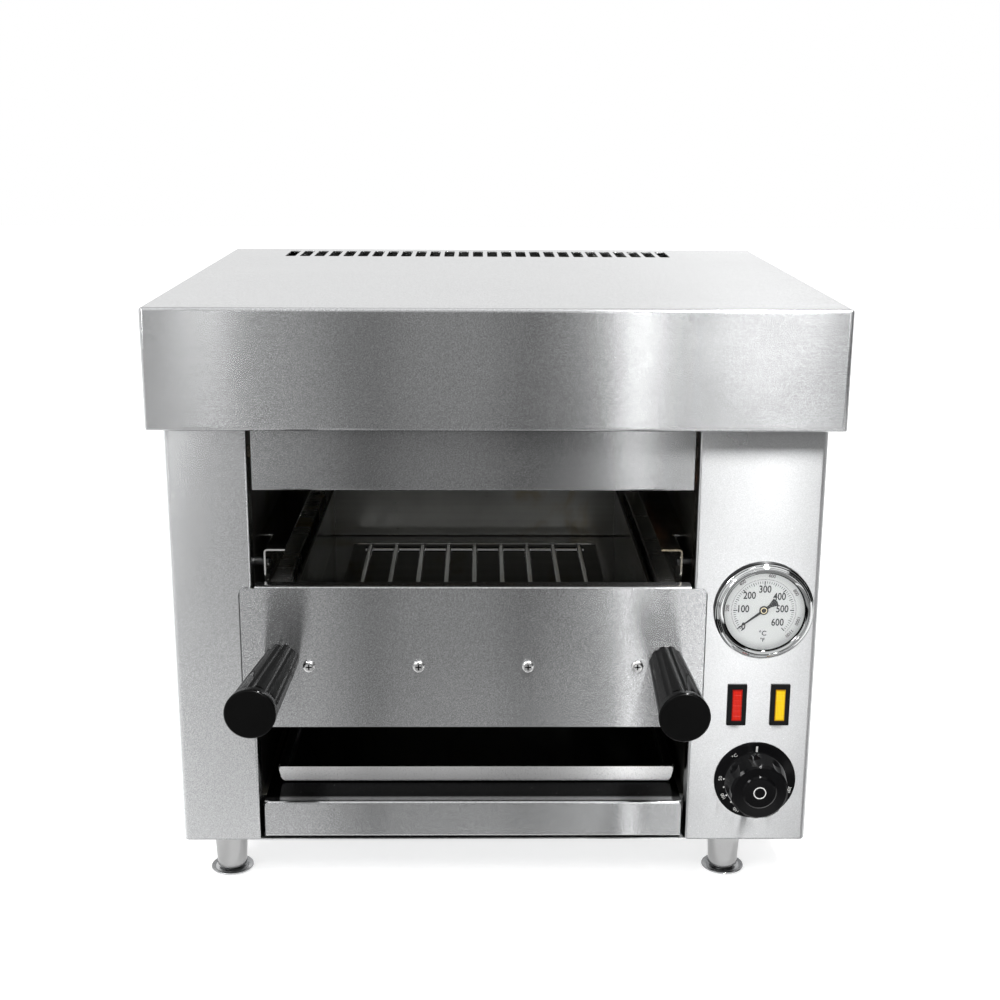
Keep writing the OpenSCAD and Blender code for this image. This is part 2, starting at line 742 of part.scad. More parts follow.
// Pan with hemmed walls, a front tongue behind the front plate and a window in the floor
module drawer_pan() color(dark_steel) in_opening() {
  f = pan_floor_z - pan_t / 2;
  turn = hem_gap + pan_t;
  hem_r = turn / 2 - 0.01;
  top = pan_top_z - pan_t / 2;
  depth = pan_d - drawer_y;
  difference() {
    union() {
      translate([0, drawer_y, 0]) along_y(depth) bent_sheet([
        [-wall_mid - turn, top - hem], [-wall_mid - turn, top], [-wall_mid, top], [-wall_mid, f],
        [wall_mid, f], [wall_mid, top], [wall_mid + turn, top], [wall_mid + turn, top - hem]],
        pan_t, hem_r);
      across_x(pan_w + pan_t) bent_sheet([
        [pan_d - 20, f], [pan_d - pan_t / 2, f], [pan_d - pan_t / 2, pan_top_z - 1]], pan_t, soft);
      across_x(pan_w) bent_sheet([
        [20, f], [drawer_y + pan_t / 2, f], [drawer_y + pan_t / 2, screw_z - 10]], pan_t, bend);
    }
    translate([0, 0, f - pan_t]) linear_extrude(2 * pan_t)
      polygon(rounded([-window[0], window[1]], [window[0], window[2]], window_r, window_r));
    for (x = front_screws)
      translate([x, drawer_y, screw_z]) hole_y(screw_d, pan_t);
    // the walls' front corners clear the bend of the front plate
    for (side = [-1, 1])
      flipped(side) translate([wall_mid - pan_t, drawer_y - eps, pan_top_z - 4])
        cube([turn + 2 * pan_t, plate_bend + 1, 5]);
  }
}

// The left runner: a joggled strip from the drawer's wall into the rail
module runner() {
  outer = -pan_w / 2 - pan_t;
  web = -rail_x + rail_flange + 1.2 + rail_t / 2;
  edge = web - rail_t / 2 - runner_flange;
  high = runner_top - rail_t / 2;
  low = high - runner_web_h;
  start = drawer_return + 2;
  translate([0, start, 0]) along_y(pan_d - 4 - start) bent_sheet([
    [edge, high], [web, high], [web, low], [outer - rail_t / 2, low], [outer - rail_t / 2, low - 14]],
    rail_t, bend);
}

module left_runner() color(steel) in_opening() runner();
module right_runner() color(steel) in_opening() mirror([1, 0, 0]) runner();

// Rods welded on two cross bars, held up against the floor round the window
module wire_rack() color(polished) in_opening() {
  z = pan_floor_z - pan_t - fit - rod_d / 2;
  y0 = window[1] - rod_lap;
  y1 = window[2] + rod_lap;
  half = (rod_count - 1) / 2 * rod_pitch + rod_d;
  for (i = [0 : rod_count - 1])
    translate([(i - (rod_count - 1) / 2) * rod_pitch, y0, z]) bar_y(rod_d, y1 - y0);
  for (y = [window[1] + rod_lap, y1 - rod_d])
    translate([-half, y, z - rod_d + 1]) bar_x(rod_d, 2 * half);
}

module drawer_front() color(steel) in_opening() {
  half = half_open + drawer_lap;
  low = foot_h + drawer_front_z;
  high = low + drawer_front_h;
  mid_y = drawer_y - drawer_front_t / 2;
  fold_half = half_open - 2.5;
  fold_z = high + 2 - drawer_front_t / 2;
  difference() {
    union() {
      translate([0, drawer_y - drawer_front_t, 0]) along_y(drawer_front_t)
        polygon(rounded([-half, low], [half, high], 2, drawer_front_r));
      // top return, folded back between the columns
      across_x(2 * fold_half) bent_sheet([
        [mid_y, high - 10], [mid_y, fold_z], [drawer_return, fold_z]], drawer_front_t, plate_bend);
      // bottom return
      across_x(2 * fold_half) bent_sheet([
        [mid_y, low + 10], [mid_y, low + drawer_front_t / 2], [drawer_return - 2, low + drawer_front_t / 2]],
        drawer_front_t, soft);
    }
    for (x = front_screws)
      translate([x, drawer_y - drawer_front_t, screw_z]) hole_y(screw_d, drawer_front_t);
    for (side = [-1, 1])
      at_handle(side) hole_y(stud_d, drawer_front_t);
  }
}

// Screws through the front plate and the pan's tongue, with their nuts
module drawer_screws() color(polished) in_opening() {
  reach = drawer_front_t + pan_t;
  for (x = front_screws)
    translate([x, drawer_y - drawer_front_t, screw_z]) rotate([-90, 0, 0]) {
      pan_screw(screw_d, screw_head_d, screw_head_h, reach + nut_h + 1);
      translate([0, 0, reach]) hex_nut(screw_d, nut_h);
    }
}

// --- Handles -----------------------------------------------------------------

stud_d = 8;
stud_in = 30;
stud_out = 12;

// A fluted, tapered grip standing out from the front plate along -Y
module handle() {
  r0 = handle_base_d / 2;
  r1 = handle_tip_d / 2;
  slope = atan((r1 - r0) / handle_len);
  collar_z = handle_len - handle_collar;
  flute_len = collar_z - flute_r;
  rotate([90, 0, 0]) difference() {
    rotate_extrude() polygon([
      [0, 0], [r0 - 1, 0], [r0, 1], [r1 - 0.6, collar_z], [r1, collar_z + 1], [r1, handle_len - 1],
      [r1 - 1, handle_len], [0, handle_len]]);
    for (i = [0 : flute_count - 1])
      rotate(i * 360 / flute_count + 90)
        translate([r0 + flute_r - flute_depth, 0, 0]) rotate([0, slope, 0]) {
          translate([0, 0, -flute_r]) cylinder(r = flute_r, h = flute_len + flute_r);
          translate([0, 0, flute_len]) sphere(r = flute_r);
        }
    translate([0, 0, -eps]) cylinder(r = stud_d / 2 + fit, h = stud_in + eps);
  }
}

// The left handle sits a little further out and higher
left_handle_shift = [-3, 0, 3];

module at_handle(side)
  translate([side * handle_span / 2, drawer_y - drawer_front_t, handle_z])
    translate(side < 0 ? left_handle_shift : [0, 0, 0]) children();

module left_handle() color(bakelite) in_opening() at_handle(-1) handle();
module right_handle() color(bakelite) in_opening() at_handle(1) handle();

// Studs in the handles, with their nuts behind the front plate
module handle_studs() color(polished) in_opening() {
  for (side = [-1, 1]) at_handle(side) {
    translate([0, -stud_in + 1, 0]) bar_y(stud_d, stud_in - 1 + drawer_front_t + stud_out);
    translate([0, drawer_front_t, 0]) rotate([-90, 0, 0]) hex_nut(stud_d, 6);
  }
}

// --- Crumb tray --------------------------------------------------------------

tray_fold_r = 2.5;   // outer radius where the lip meets the tray's floor
tray_shift = 2.6;    // the tray lies a little right of the opening's middle

// The tray's form shrunk by t, open above when it is carried up past the rim
module tray_form(t, up) {
  half = tray_w / 2 - t;
  y0 = tray_setback + t;
  y1 = tray_setback + tray_d - t;
  z0 = floor_z + gap + t;
  z1 = floor_z + gap + tray_h + up;
  lean = tray_flare * (z1 - z0) / tray_h;
  r = tray_r - t;
  fold = tray_fold_r - t;
  intersection() {
    across_x(2 * half + 1) polygon(concat(
      [[y0, z1]], corner([y0 + lean + fold, z0 + fold], fold, 180),
      corner([y1 - lean - fold, z0 + fold], fold, 270), [[y1, z1]]));
    translate([0, y0, 0]) along_y(y1 - y0) polygon(concat(
      [[-half, z1]], corner([-half + lean + r, z0 + r], r, 180), corner([half - lean - r, z0 + r], r, 270),
      [[half, z1]]));
    translate([0, 0, z0]) linear_extrude(z1 - z0) polygon(rounded([-half, y0], [half, y1], fold, fold));
  }
}

module crumb_tray() color(steel) in_opening() translate([tray_shift, 0, 0]) difference() {
  tray_form(0, 0);
  tray_form(tray_t, eps);
}

// --- Thermometer -------------------------------------------------------------

face_y = 4;          // the dial's face in front of the panel
pointer_turn = 217;  // where the pointer stands when the machine is cold
case_wall = 1;
spindle_d = 2;

// Cup behind the panel with a rim in front of it
module gauge_case() color(dark_steel) at_control(gauge_h) rotate([90, 0, 0]) {
  r = gauge_case_d / 2;
  rotate_extrude() polygon([
    [spindle_d / 2 + fit, -gauge_case_depth], [r, -gauge_case_depth], [r, 0], [gauge_d / 2 - 3.5, 0],
    [gauge_d / 2 - 3.5, 1.2], [r, 1.2], [r, face_y - 1.2], [r - case_wall, face_y - 1.2],
    [r - case_wall, -gauge_case_depth + case_wall], [4, -gauge_case_depth + case_wall],
    [4, -6], [spindle_d / 2 + fit, -6]]);
}

// Stepped ring that clamps the glass to the case
module gauge_bezel() color(polished) at_control(gauge_h) rotate([90, 0, 0]) {
  r = gauge_d / 2;
  lip = gauge_face_d / 2;
  rotate_extrude() polygon(concat(
    [[r - 3, 0.1], [r - 0.6, 0.1], [r, 0.7]],
    corner([r - 2, gauge_out - 4.5], 2, 0),
    corner([r - 4.6, gauge_out - 1.6], 1.6, 0),
    [[lip + 1.2, gauge_out - 1], [lip, gauge_out - 2.6], [lip, gauge_out - 3.4],
     [lip + 2.2, gauge_out - 3.4], [lip + 2.2, face_y + 1], [r - 3, face_y + 1]]));
}

module gauge_glass() color(glass_colour) at_control(gauge_h) rotate([90, 0, 0])
  translate([0, 0, gauge_out - 5.6]) cylinder(r = gauge_face_d / 2 + 2, h = 2);

module gauge_dial() color(dial_white) at_control(gauge_h) rotate([90, 0, 0])
  translate([0, 0, face_y - 1]) difference() {
    cylinder(r = gauge_face_d / 2 + 1.5, h = 0.8);
    translate([0, 0, -eps]) cylinder(d = spindle_d + 1, h = 1);
  }

// Tapered pointer with a flared tail, its brass cap and its spindle
module gauge_pointer() at_control(gauge_h) rotate([90, 0, 0]) {
  length = gauge_face_d * 0.405;
  tail = gauge_face_d * 0.185;
  hub_d = gauge_face_d * 0.115;
  color(bakelite) translate([0, 0, face_y]) rotate(pointer_turn) difference() {
    linear_extrude(0.4) union() {
      polygon([[0, 1.2], [length, 0.3], [length, -0.3], [0, -1.2]]);
      polygon([
        [0, 0.9], [-tail * 0.5, 1.3], [-tail, 3.7], [-tail - 1.2, 0], [-tail, -3.7],
        [-tail * 0.5, -1.3], [0, -0.9]]);
      circle(d = hub_d);
    }
    translate([0, 0, -eps]) cylinder(r = spindle_d / 2, h = 1);
  }
  color(brass) rotate_extrude() polygon([
    [0, -20], [spindle_d / 2, -20], [spindle_d / 2, face_y + 0.4], [2.1, face_y + 0.4], [2.1, face_y + 0.8],
    [1.5, face_y + 1.1], [0, face_y + 1.1]]);
}

// --- Capillary probes --------------------------------------------------------

capillary_d = 2.2;
capillary_hole_d = 7;
probe_d = 6;
probe_len = 90;
thermostat_probe_y = 190;
thermostat_probe_z = element_z - 30;
gauge_probe_y = 60;
gauge_probe_z = element_z - 20;

// The plane that a ring of a swept tube lies in, carried along the path
function tangent(p, i) = unit(p[min(i + 1, len(p) - 1)] - p[max(i - 1, 0)]);
function side_at(p, i) = i == 0
  ? unit(cross(tangent(p, 0), abs(tangent(p, 0).z) < 0.9 ? [0, 0, 1] : [1, 0, 0]))
  : let (t = tangent(p, i), s = side_at(p, i - 1)) unit(s - t * (s * t));

// Corners of a 3-D path, each replaced by an arc of radius r
function smooth(p, r, steps = 4) = [
  for (i = [0 : len(p) - 1])
    if (i == 0 || i == len(p) - 1) p[i]
    else
      let (u = unit(p[i - 1] - p[i]), v = unit(p[i + 1] - p[i]), a = p[i] + u * r, b = p[i] + v * r)
      for (k = [0 : steps]) let (s = k / steps) a * (1 - s) * (1 - s) + p[i] * 2 * s * (1 - s) + b * s * s
];

module swept_tube(points, d, sides = 8) {
  n = len(points);
  rings = [
    for (i = [0 : n - 1])
      let (t = tangent(points, i), a = side_at(points, i), b = cross(t, a))
      for (k = [0 : sides - 1]) points[i] + d / 2 * (a * cos(360 * k / sides) + b * sin(360 * k / sides))
  ];
  polyhedron(rings, concat(
    [[for (k = [0 : sides - 1]) k]],
    [[for (k = [sides - 1 : -1 : 0]) (n - 1) * sides + k]],
    [for (i = [0 : n - 2], k = [0 : sides - 1])
      let (a = i * sides + k, b = i * sides + (k + 1) % sides) [a, a + sides, b + sides, b]]));
}

// A tube from a control's back to the cavity wall, then a bulb along the wall
module probe(start, y, z) {
  bulb_x = mid_x + wall_x - 8;
  color(brass) swept_tube(smooth([
    start, start + [0, 14, 0], [start.x, start.y + 14, z], [start.x, y, z], [bulb_x, y, z],
    [bulb_x, y + 14, z]], 6), capillary_d);
  color(polished) translate([bulb_x, y + 14, z]) bar_y(probe_d, probe_len);
}

module gauge_probe() in_body()
  probe([control_x + 16, gauge_case_depth, foot_h + gauge_h], gauge_probe_y, gauge_probe_z);

// --- Lamps -------------------------------------------------------------------

lamp_out = 2.6;
lamp_lap = 3.6;   // how much smaller the housing is than its bezel
recess = 6;

module lamp_cutout(extra) {
  w = lamp_w - lamp_lap + 2 * extra;
  h = lamp_tall - lamp_lap + 2 * extra;
  translate([-w / 2, -eps, -h / 2]) cube([w, 3 * sheet, h]);
}

// Black housing with two blades at its back
module lamp_housing() {
  w = lamp_w - lamp_lap;
  h = lamp_tall - lamp_lap;
  lens_w = lamp_w - 2 * lamp_rim;
  lens_h = lamp_tall - 2 * lamp_rim - 0.8;
  color(black_plastic) difference() {
    union() {
      translate([0, -lamp_out, 0]) along_y(lamp_out)
        polygon(rounded([-lamp_w / 2, -lamp_tall / 2], [lamp_w / 2, lamp_tall / 2], 0.6, 0.6));
      translate([-w / 2, -eps, -h / 2]) cube([w, lamp_depth + eps, h]);
    }
    translate([-lens_w / 2 - 0.15, -lamp_out - eps, -lens_h / 2 - 0.15])
      cube([lens_w + 0.3, recess + eps, lens_h + 0.3]);
  }
  color(polished) for (z = [-8, 8])
    translate([-2.4, lamp_depth, z - 0.4]) cube([4.8, 9, 0.8]);
}

// Lens with shallow ribs across it
module lamp_lens() {
  lens_w = lamp_w - 2 * lamp_rim;
  lens_h = lamp_tall - 2 * lamp_rim - 0.8;
  ribs = 6;
  difference() {
    translate([-lens_w / 2, -lamp_out - 0.8, -lens_h / 2]) cube([lens_w, recess + 0.8, lens_h]);
    for (i = [1 : ribs - 1])
      translate([-lens_w / 2 - eps, -lamp_out - 1, -lens_h / 2 + i * lens_h / ribs])
        bar_x(0.9, lens_w + 2 * eps);
  }
}

module at_lamp(side) at_control(lamp_h) translate([side * lamp_pitch / 2, 0, 0]) children();

module red_lamp() at_lamp(-1) lamp_housing();
module red_lens() color(lamp_red) at_lamp(-1) lamp_lens();
module yellow_lamp() at_lamp(1) lamp_housing();
module yellow_lens() color(lamp_yellow) at_lamp(1) lamp_lens();

// --- Knob and thermostat -----------------------------------------------------

skirt_back = 1.2;
skirt_front = 5;
grip_taper = 2;
shaft_out = 20;
thermostat_w = 44;
thermostat_tall = 36;
thermostat_depth = 32;

// Skirt and scalloped grip, drawn as one moulding along -Y
module knob() color(black_plastic) at_control(knob_h) rotate([90, 0, 0]) {
  r = knob_d / 2;
  g = grip_d / 2;
  hollow_r = 9;
  hollow_depth = 3;
  disc_r = g * 0.5;   // raised disc on the grip's end
  dimple_r = g * 0.25;
  difference() {
    rotate_extrude() polygon([
      [0, skirt_front], [r - 4, skirt_back + 1.8], [r - 2.5, skirt_back], [r - 0.6, skirt_back],
      [r, skirt_back + 0.6], [r, skirt_front - 1.4], [r - 1, skirt_front - 0.6], [g + 1.5, skirt_front + 0.6],
      [g, skirt_front + 1.6], [g - grip_taper, knob_out - 3], [g - grip_taper - 2, knob_out - 1.2],
      [disc_r + 1.5, knob_out - 2], [disc_r, knob_out - 0.6], [disc_r - 1, knob_out], [dimple_r, knob_out],
      [dimple_r - 0.5, knob_out - 0.5], [0, knob_out - 0.5]]);
    for (i = [0 : hollow_count - 1])
      rotate(97 + i * 360 / hollow_count) translate([g + hollow_r - hollow_depth, 0, skirt_front + 4]) {
        cylinder(r1 = hollow_r - hollow_depth + 0.6, r2 = hollow_r, h = 5);
        translate([0, 0, 5 - eps]) cylinder(r = hollow_r, h = knob_out);
      }
    translate([0, 0, -eps]) cylinder(r = shaft_d / 2 + fit, h = shaft_out + 0.5 + eps);
  }
}

module thermostat_shaft() color(polished) at_control(knob_h)
  translate([0, -shaft_out, 0]) bar_y(shaft_d, shaft_out + sheet + 12);

// Control body with a neck through the panel, terminals at its back and two screws
module thermostat() at_control(knob_h) {
  back = sheet + thermostat_depth;
  color(black_plastic) difference() {
    union() {
      translate([0, sheet, 0]) along_y(thermostat_depth) polygon(rounded(
        [-thermostat_w / 2, -thermostat_tall / 2], [thermostat_w / 2, thermostat_tall / 2], 3, 3));
      translate([0, -1, 0]) bar_y(thermostat_neck_d, 2 + sheet);
    }
    translate([0, -2, 0]) bar_y(shaft_d + 2 * fit, 2 + sheet + 14);
    for (side = [-1, 1])
      translate([side * thermostat_screw_x, sheet - eps, 0]) bar_y(small_screw_d + 2 * fit, 9);
  }
  color(polished) {
    for (side = [-1, 1]) {
      translate([side * thermostat_screw_x, 0, 0]) rotate([-90, 0, 0])
        pan_screw(small_screw_d, small_head_d, small_head_h - 0.6, sheet + 7);
      for (z = [-10, 10])
        translate([side * 12 - 3.1, back, z - 0.4]) cube([6.2, 9, 0.8]);
    }
  }
}

module thermostat_probe() in_body()
  probe([control_x, sheet + thermostat_depth, foot_h + knob_h + 6], thermostat_probe_y, thermostat_probe_z);

// --- Rear connections --------------------------------------------------------

gland_thread_d = gland_bore_d + 8;
block_w = 56;

// Pillar terminal block on the base plate behind the controls
module terminal_block() in_body() {
  poles = 5;
  pole = block_w / poles;
  translate([control_x - block_w / 2, body_d - 90, foot_h + sheet]) {
    color(ceramic) difference() {
      cube([block_w, 28, 22]);
      for (i = [0 : poles - 1]) {
        translate([(i + 0.5) * pole, -eps, 9]) bar_y(5, 28 + 2 * eps);
        for (y = [8, 20])
          translate([(i + 0.5) * pole, y, 12]) cylinder(d = 5, h = 11);
      }
      for (i = [1 : poles - 1])
        translate([i * pole - 1, -eps, 15]) cube([2, 28 + 2 * eps, 8]);
    }
  }
}

// Gland through the back panel with a cap outside and a lock nut inside
module cable_gland() in_body() translate([control_x, body_d, foot_h + gland_h]) rotate([-90, 0, 0]) {
  inside = 12;
  cap = gland_reach - 8;
  color(black_plastic) difference() {
    union() {
      translate([0, 0, -sheet - inside]) cylinder(d = gland_thread_d, h = inside + sheet + 2);
      cylinder(d = gland_thread_d + 8, h = 8, $fn = 6);
      rotate_extrude() polygon([
        [0, 7], [gland_thread_d / 2 + 3, 7], [gland_thread_d / 2 + 3, 8 + cap * 0.4],
        [gland_thread_d / 2, 8 + cap * 0.8], [gland_thread_d / 2 - 2, gland_reach], [0, gland_reach]]);
    }
    translate([0, 0, -sheet - inside - eps])
      cylinder(d = gland_bore_d, h = inside + sheet + gland_reach + 2 * eps);
  }
  color(black_plastic) translate([0, 0, -sheet - 5]) difference() {
    cylinder(d = gland_thread_d + 8, h = 5, $fn = 6);
    translate([0, 0, -eps]) cylinder(r = gland_thread_d / 2 + fit, h = 5 + 2 * eps);
  }
}

// Bonding stud with a nut on each side of the back panel
module earth_stud() color(brass) in_body() {
  inside = 12;
  undercut = 1.5;   // groove under the outer nut's face
  translate([control_x, body_d, foot_h + earth_h]) rotate([-90, 0, 0]) {
    translate([0, 0, -sheet - inside]) cylinder(d = earth_d, h = inside + sheet + nut_h - undercut);
    translate([0, 0, nut_h - undercut - weld]) cylinder(d = earth_d - 0.6, h = undercut + 2 * weld);
    translate([0, 0, nut_h]) cylinder(d = earth_d, h = earth_len);
    hex_nut(earth_d, nut_h);
    translate([0, 0, -sheet - nut_h]) hex_nut(earth_d, nut_h);
  }
}

// Screws of the hood, the back panel and the base plate
module panel_screws() color(polished) in_body() {
  for (s = hood_screws)
    translate([s.x, s.y, body_top - sheet]) {
      pan_screw(small_screw_d, small_head_d, small_head_h, 2 * sheet + 5);
      translate([0, 0, 2 * sheet]) hex_nut(small_screw_d, 3);
    }
  for (side = [-1, 1], z = back_screw_z)
    translate([side * (body_w / 2 - flange_w / 2 - sheet), body_d, z]) rotate([90, 0, 0]) {
      pan_screw(small_screw_d, small_head_d, small_head_h, 2 * sheet + 5);
      translate([0, 0, 2 * sheet]) hex_nut(small_screw_d, 3);
    }
  for (side = [-1, 1], y = base_screw_y)
    translate([side * (body_w / 2 - flange_w / 2), y, foot_h]) {
      pan_screw(small_screw_d, small_head_d, small_head_h, 2 * sheet + 5);
      translate([0, 0, 2 * sheet]) hex_nut(small_screw_d, 3);
    }
}

// --- Feet --------------------------------------------------------------------

foot_x = [-body_w / 2 + foot_inset_left, body_w / 2 - foot_inset_right];
foot_y = [foot_inset_y, body_d - foot_inset_y];
disc_h = 4;
leg_z = disc_h + gap;
stud_up = 14;

// Tapered tube with a stud through the base plate and a threaded insert below
module leg() color(polished) {
  wall = 1.6;
  bottom_r = leg_bottom_d / 2;
  top_r = leg_top_d / 2;
  insert = leg_z + 9;
  rotate_extrude() polygon([
    [foot_stem_d / 2 + fit, leg_z], [bottom_r - 0.6, leg_z], [bottom_r, leg_z + 0.6], [top_r, foot_h],
    [foot_stem_d / 2, foot_h], [foot_stem_d / 2, foot_h + stud_up], [0, foot_h + stud_up], [0, foot_h - 3],
    [top_r - wall, foot_h - 3], [bottom_r - wall + 0.6, insert], [foot_stem_d / 2 + fit, insert]]);
  translate([0, 0, foot_h + sheet]) hex_nut(foot_stem_d, 7);
}

// Dished disc on a threaded stem
module foot() color(steel) {
  r = foot_disc_d / 2;
  stem_top = foot_h - 12;
  rotate_extrude() polygon([
    [0, 0], [r - 3, 0], [r - 0.8, 0.9], [r, 2], [r - 0.6, 2.6], [r - 4, 1.8], [leg_bottom_d / 2 - 1, 2.4],
    [foot_stem_d / 2 + 3, disc_h], [foot_stem_d / 2, disc_h], [foot_stem_d / 2, stem_top], [0, stem_top]]);
}

module at_foot(i, j) in_body() translate([foot_x[i], foot_y[j], 0]) children();

module front_left_leg() at_foot(0, 0) leg();
module front_right_leg() at_foot(1, 0) leg();
module rear_left_leg() at_foot(0, 1) leg();
module rear_right_leg() at_foot(1, 1) leg();
module front_left_foot() at_foot(0, 0) foot();
module front_right_foot() at_foot(1, 0) foot();
module rear_left_foot() at_foot(0, 1) foot();
module rear_right_foot() at_foot(1, 1) foot();

hood();
left_column();
right_column();
upper_front_panel();
floor_and_apron();
base_plate();
back_panel();
left_cavity_wall();
right_cavity_wall();
cavity_back_wall();
reflector();
top_insulation();
control_insulation();
front_element();
second_element();
third_element();
rear_element();
element_hangers();
element_bushings();
terminal_beads();
left_rail();
right_rail();
rail_spacers();
rail_screws();
drawer_pan();
left_runner();
right_runner();
wire_rack();
drawer_front();
drawer_screws();
left_handle();
right_handle();
handle_studs();
crumb_tray();
gauge_case();
gauge_bezel();
gauge_glass();
gauge_dial();
gauge_pointer();
gauge_probe();
red_lamp();
red_lens();
yellow_lamp();
yellow_lens();
knob();
thermostat_shaft();
thermostat();
thermostat_probe();
terminal_block();
cable_gland();
earth_stud();
panel_screws();
front_left_leg();
front_right_leg();
rear_left_leg();
rear_right_leg();
front_left_foot();
front_right_foot();
rear_left_foot();
rear_right_foot();
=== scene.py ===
"""Finishes, printed scales and studio of a countertop cheese melter."""

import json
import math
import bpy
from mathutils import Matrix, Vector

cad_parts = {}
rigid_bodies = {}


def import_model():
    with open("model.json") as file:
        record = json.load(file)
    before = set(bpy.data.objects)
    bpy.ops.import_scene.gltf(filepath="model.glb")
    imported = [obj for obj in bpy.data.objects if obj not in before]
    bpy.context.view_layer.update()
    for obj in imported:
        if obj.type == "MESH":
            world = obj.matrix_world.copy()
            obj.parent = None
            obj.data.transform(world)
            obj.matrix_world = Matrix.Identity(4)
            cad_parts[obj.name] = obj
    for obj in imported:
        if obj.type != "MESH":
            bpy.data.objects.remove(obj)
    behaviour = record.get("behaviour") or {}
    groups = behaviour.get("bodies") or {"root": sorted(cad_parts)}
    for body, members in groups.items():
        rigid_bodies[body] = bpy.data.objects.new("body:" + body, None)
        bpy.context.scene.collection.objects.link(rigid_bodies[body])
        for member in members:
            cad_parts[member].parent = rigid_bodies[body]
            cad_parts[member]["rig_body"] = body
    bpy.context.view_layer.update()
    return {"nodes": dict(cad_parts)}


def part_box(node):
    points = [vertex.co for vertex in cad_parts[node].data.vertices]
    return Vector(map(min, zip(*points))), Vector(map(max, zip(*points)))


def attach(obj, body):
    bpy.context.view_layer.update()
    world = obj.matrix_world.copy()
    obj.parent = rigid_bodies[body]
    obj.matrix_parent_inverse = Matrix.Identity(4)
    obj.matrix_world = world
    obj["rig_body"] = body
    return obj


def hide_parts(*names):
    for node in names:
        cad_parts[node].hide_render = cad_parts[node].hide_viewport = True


bl_info = {
    "name": "Cheese melter",
    "version": (1, 0, 0),
    "blender": (4, 5, 0),
    "location": "View3D > Sidebar > Melter",
    "description": "Finishes, scales and studio of a countertop cheese melter",
    "category": "Object",
}

import bpy
from mathutils import Matrix, Vector

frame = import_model()
NODES = frame["nodes"]
MM = 0.001


def middle(node):
    """Centre of a CAD node's box"""
    low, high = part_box(node)
    return (low + high) / 2


DIAL = middle("gauge_dial")
DIAL_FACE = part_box("gauge_dial")[0].y
POINTER_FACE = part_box("gauge_pointer")[0].y
KNOB = middle("knob")
KNOB_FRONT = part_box("knob")[0].y
KNOB_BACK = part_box("knob")[1].y
SKIRT_HEIGHT, SKIRT_RISE, SKIRT_RUN = 5.0 * MM, 1.2 * MM, 8.0 * MM
PLATE_LOW, PLATE_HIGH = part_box("drawer_front")
APRON_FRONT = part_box("floor_and_apron")[0].y
DIAL_LIP = 33.5 * MM
BEZEL_RADIUS = (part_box("gauge_bezel")[1].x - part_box("gauge_bezel")[0].x) / 2
SCALE_START, SCALE_END = 135, -135  # degrees from the dial's top, clockwise negative
FAHRENHEIT_END = 1112
NUMBER_PLACES = (  # of the dial's main numbers, in millimetres from its middle
    (-16.4, -14.2), (-17.4, 1.0), (-12.4, 12.8), (0.3, 18.2),
    (12.7, 11.8), (15.4, 1.0), (12.0, -10.8),
)
RIM = 1.3 * MM  # how wide the painted gap shadow along the plate's rim is
PLATE_LAP = 9.0 * MM  # how far the plate laps over the columns
SHEET_WAVE = 0.4 * MM  # how far the sheets are from flat
WAVES, GRIT = 7.0, 1250.0  # waves and grains to a metre
HOOD_ENDS = (0.15, 0.27)  # from the middle, where the brush marks get plainer
FLAT_SHINE = 0.55  # roughness of flat faces, as a share of that of upright ones
PAN_DULL_AND_LIT_FROM = 148 * MM  # depth behind which the pan is duller and painted lighter, as painted light on its rear part and back wall
BOARD_GLOW = 2.4
UPRIGHT_AXIS = 2.0  # how the turning marks are told that a part's axis is upright
LEVEL_FACE = 0.7  # faces whose normal rises more than this count as flat
GRIP_BASE_SHIFT, GRIP_END_SHIFT = (4.5 * MM, -1.5 * MM), (-4.5 * MM, 0.0)
KEY_PLACE = (0.66, -1.22, 2.48)
STRIPES_MEET = (-0.0136, -1.3733)  # where the stripes would meet, seen from above
STRIPES = (  # the floor's stripes: place across the machine's front, how light
    (-0.45, 0.22), (-0.280, 0.24), (-0.250, 0.26), (-0.219, 0.18), (-0.199, 0.19),
    (-0.183, 0.19), (-0.165, 0.23), (-0.151, 0.16), (-0.134, 0.11), (-0.118, 0.06),
    (-0.106, 0.02), (-0.096, 0.05), (-0.084, 0.12), (-0.021, 0.125), (-0.003, 0.11),
    (0.013, 0.05), (0.026, 0.00), (0.040, 0.05), (0.060, 0.07), (0.084, 0.10),
    (0.108, 0.10), (0.113, 1.20), (0.120, 1.20), (0.129, 0.05), (0.157, 0.02),
    (0.45, 0.02),
)
CAVITY_NODES = "left_cavity_wall right_cavity_wall cavity_back_wall element_hangers"
BRASS, CHROME = (0.68, 0.50, 0.24, 1), (0.55, 0.56, 0.56, 1)
WHITE, BLACK = (1, 1, 1, 1), (0, 0, 0, 1)


# --- Settings ---


def number_setting(name, description, default, **more):
    return bpy.props.FloatProperty(
        name=name, description=description, default=default, **more
    )


def length_setting(name, description, default):
    return number_setting(name, description, default, min=0.0, unit="LENGTH")


def colour_setting(name, description, default):
    return bpy.props.FloatVectorProperty(
        name=name,
        description=description,
        default=default,
        size=4,
        min=0.0,
        max=1.0,
        subtype="COLOR",
    )


def angle_setting(name, description, degrees):
    return number_setting(name, description, math.radians(degrees), subtype="ANGLE")


def amount_setting(name, description, default):
    return number_setting(name, description, default, min=0.0, max=1.0)


class MelterSteel(bpy.types.PropertyGroup):
    """Sheet steel of the body, the drawer and the cavity"""

    colour: colour_setting(
        "Brushed steel", "Colour of the body panels", (0.50, 0.505, 0.51, 1)
    )
    # painted shade: the steel inside is painted this dark partly for the cavity's
    # shade, beside its soot stains
    cavity: colour_setting(
        "Cavity steel", "Colour of the smoked steel inside", (0.10, 0.10, 0.09, 1)
    )
    polished: colour_setting(
        "Polished steel", "Colour of screws and studs", (0.78, 0.78, 0.78, 1)
    )
    roughness: amount_setting("Brushed roughness", "Roughness of the body panels", 0.25)
    grain: amount_setting("Grain", "Depth of the brush marks", 0.22)


